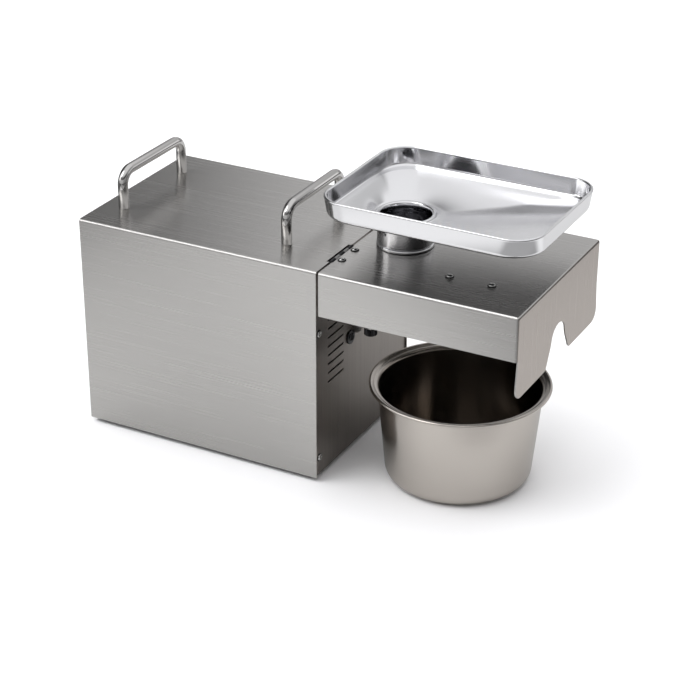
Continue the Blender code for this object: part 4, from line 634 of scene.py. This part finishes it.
class PRESS_OT_stage(bpy.types.Operator):
    """Make the camera, the pale floor, the lights and the surroundings."""
    bl_idname = "press.stage"
    bl_label = "Stage"

    def execute(self, context):
        """Camera first, at the photograph's angle, then floor, lights and surroundings."""
        studio = context.scene.press_studio
        camera = bpy.data.objects.new("camera", bpy.data.cameras.new("camera"))
        camera.data.lens = CAMERA_LENS
        camera.data.sensor_width = CAMERA_FILM
        camera.data.clip_start = 0.05
        axes = (CAMERA_RIGHT, -np.array(CAMERA_DOWN), -np.array(CAMERA_FORWARD))
        self.put(camera, axes, np.array(CAMERA_PLACE) + CORNER)
        context.scene.camera = camera
        context.scene.view_settings.view_transform = "Standard"
        self.floor(studio)
        self.lights(studio)
        self.surroundings(context, studio)
        return {"FINISHED"}

    def put(self, thing, axes, place):
        """Links a camera or lamp into the scene and stands it at a place, with its x, y and z as given."""
        turn = np.eye(4)
        turn[:3, :3] = np.stack(axes, axis=1)
        turn[:3, 3] = place
        bpy.context.scene.collection.objects.link(thing)
        thing.matrix_world = Matrix(turn.tolist())

    def floor(self, studio):
        """A large flat sheet just under the feet. In the metal it carries painted shade: it looks greyer, and
        falls off towards the front and right, as a studio table does outside its lit part."""
        reach = np.linspace(-FLOOR_REACH, FLOOR_REACH, 3)
        x, y = np.meshgrid(reach, reach, indexing="ij")
        points = np.stack((x, y, np.full_like(x, FLOOR_LEVEL)), axis=-1)
        floor = surface("floor", points, columns_closed=False)
        material, tree, shader, place = blank_material("pale floor", tuple(studio.floor_colour), 0.0, 0.6)
        shader.inputs["Specular IOR Level"].default_value = 0.0
        slant = vector_step(tree, "DOT_PRODUCT", place.outputs["Object"], FLOOR_SLANT)
        fade = tree.nodes.new("ShaderNodeValToRGB")
        fade.color_ramp.interpolation = "EASE"
        fade.color_ramp.elements.new(FLOOR_STOPS[1])
        fade.color_ramp.elements.new(FLOOR_STOPS[2])
        left, middle, right = studio.floor_mirrored
        for stop, at, shade in zip(fade.color_ramp.elements, FLOOR_STOPS, (left, middle, middle, right)):
            stop.position = at
            stop.color = (shade, shade, shade, 1.0)
        feed(tree, step(tree, "SUBTRACT", slant, float(CORNER @ FLOOR_SLANT)), fade.inputs["Fac"])
        along = step(tree, "SUBTRACT", part_of(tree, place.outputs["Object"], "X"), float(CORNER[0]))
        ends = step(tree, "MULTIPLY", ramp(tree, along, *FLOOR_LEFT_END),
                    ramp(tree, along, *FLOOR_RIGHT_END))
        end_shade_colour = (FLOOR_END_SHADE, FLOOR_END_SHADE, FLOOR_END_SHADE, 1.0)
        mirrored = mixed(tree, "RGBA", ends, end_shade_colour, fade.outputs["Color"])
        # Only rays that the metal reflects see the painted shade; all others see the even pale floor.
        rays = tree.nodes.new("ShaderNodeLightPath")
        seen = mixed(tree, "RGBA", rays.outputs["Is Glossy Ray"], (*studio.floor_colour, 1.0), mirrored)
        feed(tree, seen, shader.inputs["Base Color"])
        wear_finish(floor, material)

    def lights(self, studio):
        """A wide sun overhead, which the metal doesn't mirror, and a softbox at the left."""
        sun = bpy.data.lights.new("overhead", "SUN")
        sun.energy = studio.key_power
        sun.angle = studio.key_spread
        self.aim(sun, SUN_PLACE, SUN_TARGET).visible_glossy = False
        box = bpy.data.lights.new("left side", "AREA")
        box.energy = studio.side_power
        box.size = SOFTBOX_SIZE
        self.aim(box, SOFTBOX_PLACE, SOFTBOX_TARGET)

    def aim(self, lamp, place, target):
        """Puts a lamp at a place, with its beam along the line to the target."""
        lamp_object = bpy.data.objects.new(lamp.name, lamp)
        away = np.array(place) - np.array(target)
        away /= np.linalg.norm(away)
        side = np.cross((0.0, 0.0, 1.0), away)
        side /= np.linalg.norm(side)
        self.put(lamp_object, (side, np.cross(away, side), away), place)
        return lamp_object

    def surroundings(self, context, studio):
        """A bright ceiling, a dark band of wall between it and a paler sweep lower down, ends that darken
        at the left and right, and a softbox up at the front. All of it depends only on the direction."""
        world = bpy.data.worlds.new("studio")
        context.scene.world = world
        world.use_nodes = True
        tree = world.node_tree
        direction = tree.nodes.new("ShaderNodeTexCoord").outputs["Generated"]
        x, y, z = (part_of(tree, direction, label) for label in "XYZ")

        def along(part, change):
            """One of the changes that are listed at the top."""
            return ramp(tree, part, *change, smooth=True)

        wall = mixed(tree, "FLOAT", along(y, WALLS_MEET_BY_Y), along(x, FRONT_WALL_BY_X),
                     along(x, BACK_WALL_BY_X))
        behind = step(tree, "MULTIPLY_ADD", along(x, BACK_SWEEP_BY_X), along(x, BACK_SWEEP_DIMS_BY_X),
                      along(x, BACK_SWEEP_LIFTS_BY_X))
        sweep = mixed(tree, "FLOAT", along(y, SWEEPS_MEET_BY_Y), along(x, FRONT_SWEEP_BY_X), behind)
        room = mixed(tree, "FLOAT", along(z, CEILING_STARTS_BY_Z), sweep, along(x, CEILING_BY_X))
        ends = step(tree, "MULTIPLY", along(x, RIGHT_END_BY_X), along(x, LEFT_END_BY_X))
        ends = mixed(tree, "FLOAT", along(z, ENDS_STOP_BY_Z), ends, 1.0)
        band = step(tree, "MULTIPLY", along(z, WALL_STARTS_BY_Z), along(z, WALL_STOPS_BY_Z))
        toward = vector_step(tree, "DOT_PRODUCT", direction, SOFTBOX_TOWARD)
        light = step(tree, "MULTIPLY_ADD", mixed(tree, "FLOAT", band, room, wall), ends,
                     along(toward, SOFTBOX_EDGE))
        background = tree.nodes["Background"]
        feed(tree, light, background.inputs["Strength"])
        grey = studio.surround
        background.inputs["Color"].default_value = (grey, grey, grey * 1.01, 1.0)


class PRESS_OT_sheet(bpy.types.Operator):
    """Finish the brushed sheets: casing, end panels, guard and its channel."""
    bl_idname = "press.sheet"
    bl_label = "Casing and guard sheets"

    def execute(self, context):
        """The grain runs along the casing and guard, and upright on the end panels."""
        finish = context.scene.press_finish
        colour = tuple(finish.sheet_colour)
        # Painted shade: the guard's folded-down end is given a darker, warmer copy of the sheet's colour.
        folded_end_shade = (0.48, 0.435, 0.40)
        # Painted shade: the end panels are the same sheet steel, given a darker, warmer colour.
        panel_shade_colour = (0.30, 0.275, 0.255)
        rough, grain = finish.sheet_roughness, finish.sheet_grain
        dress(["casing_cover", "guard", "guard_channel"],
              brushed_folded("brushed sheet", colour, folded_end_shade, rough, grain))
        dress(["front_panel", "rear_panel"],
              brushed_upright("upright brushed sheet", panel_shade_colour, rough + 0.04, grain))
        return {"FINISHED"}


class PRESS_OT_handles(bpy.types.Operator):
    """Make the two bent carrying handles."""
    bl_idname = "press.handles"
    bl_label = "Handles"

    def execute(self, context):
        """The path of each bar is two legs, two quarter bends and a grip between them."""
        size = context.scene.press_handles
        colour = tuple(context.scene.press_finish.chrome_colour)
        chrome = worn("chromed bar", colour, 1.0, 0.03, 0.07, 25.0, swing=0.02)
        half = size.span / 2
        crown = CASING_TOP + size.rise - size.bar
        for node in ("handle_left", "handle_right"):
            low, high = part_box(node)
            x = (low.x + high.x) / 2 - CORNER[0]
            bend = arc((-half + size.bend, crown - size.bend), size.bend, 180, 90, 14)
            path = np.concatenate(([(-half, SHEET_TOP)], bend, -bend[::-1] * (1, -1), [(half, SHEET_TOP)]))
            self.bar(node, x, path, size.bar, chrome)
        return {"FINISHED"}

    def bar(self, node, x, path, radius, material):
        """A circle carried along a path in y and z. Each ring is the path's point + radius (cos a along x
        + sin a along the path's normal), and a ring shrunk to a point closes each end."""
        tangent = np.gradient(path, axis=0)
        tangent /= np.linalg.norm(tangent, axis=1)[:, None]
        tangent[0], tangent[-1] = (0.0, 1.0), (0.0, -1.0)
        normal = np.stack((-tangent[:, 1], tangent[:, 0]), axis=1)
        radii = np.full(len(path), radius)
        path = np.concatenate((path[:1], path, path[-1:]))
        normal = np.concatenate((normal[:1], normal, normal[-1:]))
        radii = np.concatenate(([0.0], radii, [0.0]))[:, None]
        angle = np.linspace(0, 2 * np.pi, 32, endpoint=False)
        across = radii * np.cos(angle)
        outward = (radii * np.sin(angle))[..., None] * normal[:, None, :]
        points = np.stack((x + across, AXIS_Y + path[:, :1] + outward[..., 0],
                           path[:, 1:] + outward[..., 1]), axis=-1)
        piece = surface(node + "_bar", points)
        tidy(piece)
        wear_finish(piece, material)
        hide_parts(node)
        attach(piece, "base")


class PRESS_OT_tray(bpy.types.Operator):
    """Make the feed tray with its rolled rim, dished floor, throat ring and neck."""
    bl_idname = "press.tray"
    bl_label = "Feed tray"

    def execute(self, context):
        """Rings between a rounded rectangle at the rim and a circle at the neck, closed as one shell. At a
        distance d from the wall the floor has fallen by even x d + (fall - even) x shoulder
        x (1 - exp(-d / shoulder)), where even is the slope that brings each path down to the throat."""
        size = context.scene.press_tray
        count = 192
        thick = 0.0010
        middle = np.array(((TRAY_LOW.x + TRAY_HIGH.x) / 2, (TRAY_LOW.y + TRAY_HIGH.y) / 2)) - CORNER[:2]
        half = np.array(((TRAY_HIGH.x - TRAY_LOW.x) / 2, (TRAY_HIGH.y - TRAY_LOW.y) / 2))
        neck = np.array((size.neck_x, AXIS_Y)) - middle
        rim = TRAY_HIGH.z
        floor = rim - size.depth
        throat = floor - size.dish
        foot = size.stand + size.draft + size.cove
        rings = []

        def wall_ring(inset, z):
            """A rounded rectangle set in from the rim; its corners grow fuller towards the foot."""
            corner = size.corner + (size.corner_foot - size.corner) * min(1.0, (rim - z) / size.depth) ** 2
            ring = rounded_rectangle(half[0] - inset, half[1] - inset, corner - 0.2 * inset, count)
            rings.append(np.column_stack((ring, np.full(count, z))))

        def cove_rings(radius, angles):
            """The corner between wall and floor; angle 0 is at the wall."""
            for angle in np.radians(angles):
                wall_ring(foot - radius * math.cos(angle),
                          floor - thick + size.cove - radius * math.sin(angle))

        # Paths down the floor run from its edge straight to its mouth, which the throat ring rises from
        edge = rounded_rectangle(half[0] - foot, half[1] - foot, size.corner_foot - 0.2 * foot, count)
        seen = np.arctan2(edge[:, 1] - neck[1], edge[:, 0] - neck[0])
        outward = np.stack((np.cos(seen), np.sin(seen)), axis=1)
        mouth_gap = 0.003
        mouth = neck + (size.neck + mouth_gap) * outward
        run = np.linalg.norm(mouth - edge, axis=1)
        eased = size.shoulder * (1.0 - np.exp(-run / size.shoulder))
        even = (size.dish - size.fall * eased) / (run - eased)

        def floor_ring(share, lift):
            """All paths at one share of their way down the floor."""
            eased = size.shoulder * (1.0 - np.exp(-run * share / size.shoulder))
            drop = even * run * share + (size.fall - even) * eased
            rings.append(np.column_stack((edge + (mouth - edge) * share, floor - drop + lift)))

        def neck_rings(profile):
            """Circles round the neck, each at a radius and a height."""
            for radius, z in profile:
                rings.append(np.column_stack((neck + radius * outward, np.full(count, z))))

        shares = (0.02, 0.045, 0.075, 0.11, 0.15, 0.20, 0.27, 0.36, 0.47, 0.59, 0.71, 0.82, 0.92, 1.0)
        base_ring = size.neck + size.ring_stand
        joint = SHEET_TOP + size.ring_height
        bore = size.spigot - 0.0016

        # Outside: the spigot, the ring that stands on the guard, the groove over it, and the neck
        neck_rings(((size.spigot, TRAY_LOW.z), (size.spigot, SHEET_TOP - 0.0004), (size.spigot, SHEET_TOP),
                    (base_ring - 0.0004, SHEET_TOP), (base_ring, SHEET_TOP + 0.0004),
                    (base_ring, joint - 0.0005), (base_ring - 0.0003, joint - 0.0002),
                    (size.neck - 0.0006, joint - 0.0001), (size.neck - 0.0006, joint + 0.0001),
                    (size.neck - 0.0002, joint + 0.0003), (size.neck, joint + 0.0007),
                    (size.neck, throat - 0.0050)))
        neck_rings(arc((size.neck + mouth_gap, throat - 0.0040), mouth_gap, 180, 100, 5)[1:])
        for share in shares[::-1]:
            floor_ring(share, -thick)
        cove_rings(size.cove, np.linspace(66, 0, 8))
        wall_ring(size.stand, rim - size.bead * 2.2)
        for inset, z in arc((size.bead, rim - size.bead), size.bead, 210, 0, 12):
            wall_ring(inset, z)

        # Inside: wall, cove and floor, then the throat's raised ring and the bore
        wall_ring(size.bead * 1.9, rim - size.bead * 1.6)
        cove_rings(size.cove - thick, np.linspace(0, 66, 8))
        for share in shares:
            floor_ring(share, 0.0)
        neck_rings(arc((size.neck - 0.0004, throat - 0.0004), 0.0022, 15, 165, 9))
        neck_rings(((size.neck - 0.0030, throat - 0.0020), (size.neck - 0.0034, throat - 0.0080),
                    (size.neck - 0.0042, throat - 0.0150), (bore + 0.0004, throat - 0.0200),
                    (bore, SHEET_TOP), (bore, TRAY_LOW.z)))
        piece = surface("polished_tray", np.stack(rings) + (*middle, 0.0), rows_closed=True)
        tidy(piece)
        wear_finish(piece, self.polish(size, tuple(context.scene.press_finish.mirror_colour), throat))
        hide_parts("feed_tray")
        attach(piece, "tray")
        return {"FINISHED"}

    def polish(self, size, colour, throat):
        """Bright on the walls, softer on the floor, duller underneath with painted shade there, and painted
        shade in the throat.
        """
        material = worn("polished steel", colour, 1.0, 0.07, 0.12, 18.0, swing=0.02, ripple=0.03)
        tree = material.node_tree
        shader, place = tree.nodes["Principled BSDF"], tree.nodes["Texture Coordinate"]
        under = facing(tree, place, "Z", -0.45, -0.75)
        above = facing(tree, place, "Z", 0.55, 0.90)
        # Painted shade on the faces that look down, under the tray.
        shaded(tree, shader, under, (0.12, 0.12, 0.125))
        # Painted shade in the throat, below its raised ring, where faces look at the neck's axis.
        out = from_axis(tree, place, (size.neck_x + CORNER[0], AXIS_Y + CORNER[1], 0.0))
        below = ramp(tree, part_of(tree, place.outputs["Object"], "Z"), throat, throat - 0.003)
        inside = step(tree, "MULTIPLY", below, facing_axis(tree, place, out))
        shaded(tree, shader, inside, (0.30, 0.30, 0.31))
        smudged = shader.inputs["Roughness"].links[0].from_socket
        softer = step(tree, "MULTIPLY_ADD", step(tree, "MAXIMUM", under, above), 0.13, smudged)
        feed(tree, softer, shader.inputs["Roughness"])
        return material


class PRESS_OT_pot(bpy.types.Operator):
    """Make the spun oil pot."""
    bl_idname = "press.pot"
    bl_label = "Oil pot"

    def execute(self, context):
        """A closed profile of radius and height, turned round the pot's axis: up the outside over the
        foot, the flared wall and the bend of the lip, round the bead, and down the inside."""
        size = context.scene.press_pot
        high = POT_HIGH.z
        foot = 0.012
        thick = 0.0010
        rise = 0.0006
        bead = 0.0015
        bend = 0.0036
        foot_centre = (size.base - foot, foot)
        bend_centre = (size.top + bend, high - 0.0064)
        wall_radius, wall_end = size.top - 0.0006, high - 0.0220
        outer = np.concatenate((
            [(0.0, rise), (size.base - foot - 0.01, rise), (size.base - foot - 0.004, 0.0)],
            arc(foot_centre, foot, -90, -6, 12), [(wall_radius, wall_end)],
            arc(bend_centre, bend, 180, 92, 7), [(size.rim - 0.0028, high - 0.0026)]))
        edge = arc((size.rim - bead, high - bead), bead, -60, 110, 10)
        inner = np.concatenate((
            [(size.rim - 0.0034, high - 0.0006), (size.rim - 0.0046, high - 0.0013)],
            arc(bend_centre, bend + thick, 92, 180, 8),
            [(wall_radius - thick, wall_end), (size.base - thick, foot)],
            arc(foot_centre, foot - thick, -6, -90, 10), [(0.0, thick + rise)]))
        pot = lathe("spun_pot", np.concatenate((outer, edge, inner)), (size.x, size.y, 0.0), 160)
        centre = (size.x + CORNER[0], size.y + CORNER[1], 0.0)
        colour = tuple(context.scene.press_finish.pot_colour)
        wear_finish(pot, brushed_round("spun steel", colour, 0.18, 0.8, centre))
        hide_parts("oil_pot")
        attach(pot, "pot")
        return {"FINISHED"}


class PRESS_OT_screws(bpy.types.Operator):
    """Fit cross-recessed heads over the plain screw heads of the guard, hinges and end panel."""
    bl_idname = "press.screws"
    bl_label = "Screw heads"

    def execute(self, context):
        """Heads stand on the guard's top and on the right end panel, each on a near-black ring of painted
        shade.
        """
        steel = worn("screw steel", (0.60, 0.60, 0.59), 1.0, 0.08, 0.16, 200.0)
        # Painted shade: a near-black ring round each head stands for the dark gap and shade between head and
        # sheet.
        dark = worn("painted shade ring", (0.02, 0.02, 0.021), 0.0, 0.45, 0.60, 200.0)
        spots = [(x, y) for x in GUARD_SCREW_X for y in (GUARD_SCREW_Y, CASING_DEPTH - GUARD_SCREW_Y)]
        spots += [(HINGE_SCREW_X, y) for y in HINGE_SCREW_Y]
        spots += [(HINGE_SCREW_X, CASING_DEPTH - y) for y in HINGE_SCREW_Y]
        for n, (x, y) in enumerate(spots):
            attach(self.head("guard_screw_%d" % n, (x, y, SHEET_TOP), "Z", steel), "guard")
            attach(self.ring("guard_screw_ring_%d" % n, (x, y, SHEET_TOP), "Z", dark), "guard")
        spots = [(y, z) for y in (PANEL_SCREW_Y, CASING_DEPTH - PANEL_SCREW_Y) for z in PANEL_SCREW_Z]
        for n, (y, z) in enumerate(spots):
            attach(self.head("panel_screw_%d" % n, (PANEL_FACE_X, y, z), "X", steel), "base")
            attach(self.ring("panel_screw_ring_%d" % n, (PANEL_FACE_X, y, z), "X", dark), "base")
        return {"FINISHED"}

    def head(self, name, place, axis, material):
        """A flat-based dome less a cross. At a radius r the height is HEAD_HEIGHT (0.35 + 0.65 root of
        1 - (r / HEAD_RADIUS) squared), less CROSS_DEPTH on the two bars of a cross with soft edges."""
        count = 96
        r = np.concatenate((np.linspace(0.0, 1.0, 26) * HEAD_RADIUS, [HEAD_RADIUS]))[:, None]
        angle = np.linspace(0, 2 * np.pi, count, endpoint=False)[None, :]
        x, y = r * np.cos(angle), r * np.sin(angle)
        dome = HEAD_HEIGHT * (0.35 + 0.65 * np.sqrt(np.clip(1 - (r / HEAD_RADIUS) ** 2, 0, 1)))
        off_bar = np.minimum(np.abs(x), np.abs(y))
        cross = 1 / (1 + np.exp((off_bar - CROSS_HALF_WIDTH) / CROSS_SIDE_BLUR))
        cross = cross / (1 + np.exp((r - CROSS_REACH) / CROSS_END_BLUR))
        height = dome * np.ones_like(x) - CROSS_DEPTH * cross
        height[-1] = 0.0
        points = np.stack((x, y, height) if axis == "Z" else (height, x, y), axis=-1)
        points = np.concatenate((points, np.zeros((1, count, 3))))
        piece = surface(name, points + np.asarray(place))
        tidy(piece)
        wear_finish(piece, material)
        return piece

    def ring(self, name, place, axis, material):
        """A thin flat ring turned round the screw, a little wider than its head, for the painted shade round
        it.
        """
        section = arc((0.0034, 0.00012), 0.00055, -170, 170, 12) * (1.0, 0.3) + (0.0, 0.0001)
        ring = lathe(name, np.concatenate((section, section[:1])), place, 48, axis)
        wear_finish(ring, material)
        return ring


class PRESS_OT_fittings(bpy.types.Operator):
    """Finish the press head, hinges, bolts, drive, inner plates, feet and electrical fittings."""
    bl_idname = "press.fittings"
    bl_label = "Fittings"

    def execute(self, context):
        """Each group of like nodes has one finish, from the list at the top."""
        for name, colour, metallic, low, high, scale, swing, nodes in PLAIN_FINISHES:
            dress(nodes, worn(name, colour, metallic, low, high, scale, swing))
        return {"FINISHED"}


class PRESS_OT_marks(bpy.types.Operator):
    """Raise a plain bar and ring on each switch rocker, as rockers have for on and off."""
    bl_idname = "press.marks"
    bl_label = "Switch marks"

    def execute(self, context):
        """The bar stands on the upper half of a rocker's face and the ring on the lower half."""
        paint = worn("white print", (0.78, 0.78, 0.76), 0.0, 0.40, 0.55, 200.0)
        turn = np.linspace(0.0, 2 * np.pi, 40, endpoint=False)
        ring = MARK_SIZE * np.stack((np.cos(turn), np.sin(turn)), axis=1)
        bar = MARK_SIZE * np.stack((np.zeros(9), np.linspace(-1.0, 1.0, 9)), axis=1)
        rockers = (("motor_rocker", "motor_switch_rocker", 0.0, "black_plastic"),
                   ("heater_rocker", "heater_switch_rocker", HEATER_TILT, "red_plastic"))
        for body, node, tilt, slot in rockers:
            low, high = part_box(node)
            y = (low.y + high.y) / 2 - CORNER[1]
            for label, path, closed, half in (("bar", bar, False, 1), ("ring", ring, True, -1)):
                mark = self.stroke(body + "_" + label, path, closed, half, y, math.radians(tilt))
                wear_finish(mark, paint)
                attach(mark, body)
        return {"FINISHED"}

    def stroke(self, name, path, closed, half, y, tilt):
        """A low rounded ridge along a path on one half of a rocker's face: path + half width x cos a to
        the side + rise x sin a outwards. The face leans in by ROCKER_DIP from its end to the pivot, and
        then all of it is tilted about the pivot."""
        lean = np.array((-half * ROCKER_DIP, ROCKER_REACH)) / math.hypot(ROCKER_DIP, ROCKER_REACH)
        out = np.array((-lean[1], lean[0]))
        middle = np.array((-ROCKER_CROWN + ROCKER_DIP / 2, half * ROCKER_REACH / 2))
        if closed:
            tangent = np.roll(path, -1, axis=0) - np.roll(path, 1, axis=0)
        else:
            tangent = np.gradient(path, axis=0)
        tangent /= np.linalg.norm(tangent, axis=1)[:, None]
        side = np.stack((-tangent[:, 1], tangent[:, 0]), axis=1)
        width = np.ones(len(path))
        if not closed:
            path = np.concatenate((path[:1], path, path[-1:]))
            side = np.concatenate((side[:1], side, side[-1:]))
            width = np.concatenate(([0.0], width, [0.0]))
        angle = np.linspace(0, 2 * np.pi, 12, endpoint=False)
        across = MARK_HALF_WIDTH * width[:, None] * np.cos(angle)
        height = MARK_RISE * width[:, None] * np.sin(angle)
        flat = path[:, None, :] + across[..., None] * side[:, None, :]
        x = middle[0] + flat[..., 1] * lean[0] + height * out[0]
        z = middle[1] + flat[..., 1] * lean[1] + height * out[1]
        points = np.stack((x * math.cos(tilt) - z * math.sin(tilt) + PIVOT_X, flat[..., 0] + y,
                           x * math.sin(tilt) + z * math.cos(tilt) + PIVOT_Z), axis=-1)
        piece = surface(name, points, rows_closed=closed)
        tidy(piece)
        return piece


class PRESS_PT_panel(bpy.types.Panel):
    """Lists the pieces and their settings."""
    bl_idname = "PRESS_PT_panel"
    bl_label = "Screw oil press"
    bl_space_type = "VIEW_3D"
    bl_region_type = "UI"
    bl_category = "Press"

    def draw(self, context):
        """One box for each group of settings, then one button for each operator."""
        for name, group in GROUPS:
            box = self.layout.box()
            for setting in group.__annotations__:
                box.prop(getattr(context.scene, name), setting)
        for operator in OPERATORS:
            self.layout.operator(operator.bl_idname)


GROUPS = (("press_studio", PressStudioSettings), ("press_finish", PressFinishSettings),
          ("press_tray", PressTraySettings), ("press_pot", PressPotSettings),
          ("press_handles", PressHandleSettings))
OPERATORS = (PRESS_OT_stage, PRESS_OT_sheet, PRESS_OT_handles, PRESS_OT_tray, PRESS_OT_pot,
             PRESS_OT_screws, PRESS_OT_fittings, PRESS_OT_marks)


def register():
    """Adds the settings, the operators and the panel."""
    for name, group in GROUPS:
        bpy.utils.register_class(group)
        setattr(bpy.types.Scene, name, bpy.props.PointerProperty(type=group))
    for operator in OPERATORS:
        bpy.utils.register_class(operator)
    bpy.utils.register_class(PRESS_PT_panel)


def unregister():
    """Takes them away again, in the opposite order."""
    bpy.utils.unregister_class(PRESS_PT_panel)
    for operator in reversed(OPERATORS):
        bpy.utils.unregister_class(operator)
    for name, group in reversed(GROUPS):
        delattr(bpy.types.Scene, name)
        bpy.utils.unregister_class(group)


def main():
    """Makes every piece in order."""
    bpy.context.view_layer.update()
    register()
    bpy.ops.press.stage()
    bpy.ops.press.sheet()
    bpy.ops.press.handles()
    bpy.ops.press.tray()
    bpy.ops.press.pot()
    bpy.ops.press.screws()
    bpy.ops.press.fittings()
    bpy.ops.press.marks()
    bpy.context.view_layer.update()


if __name__ == "__main__":
    main()
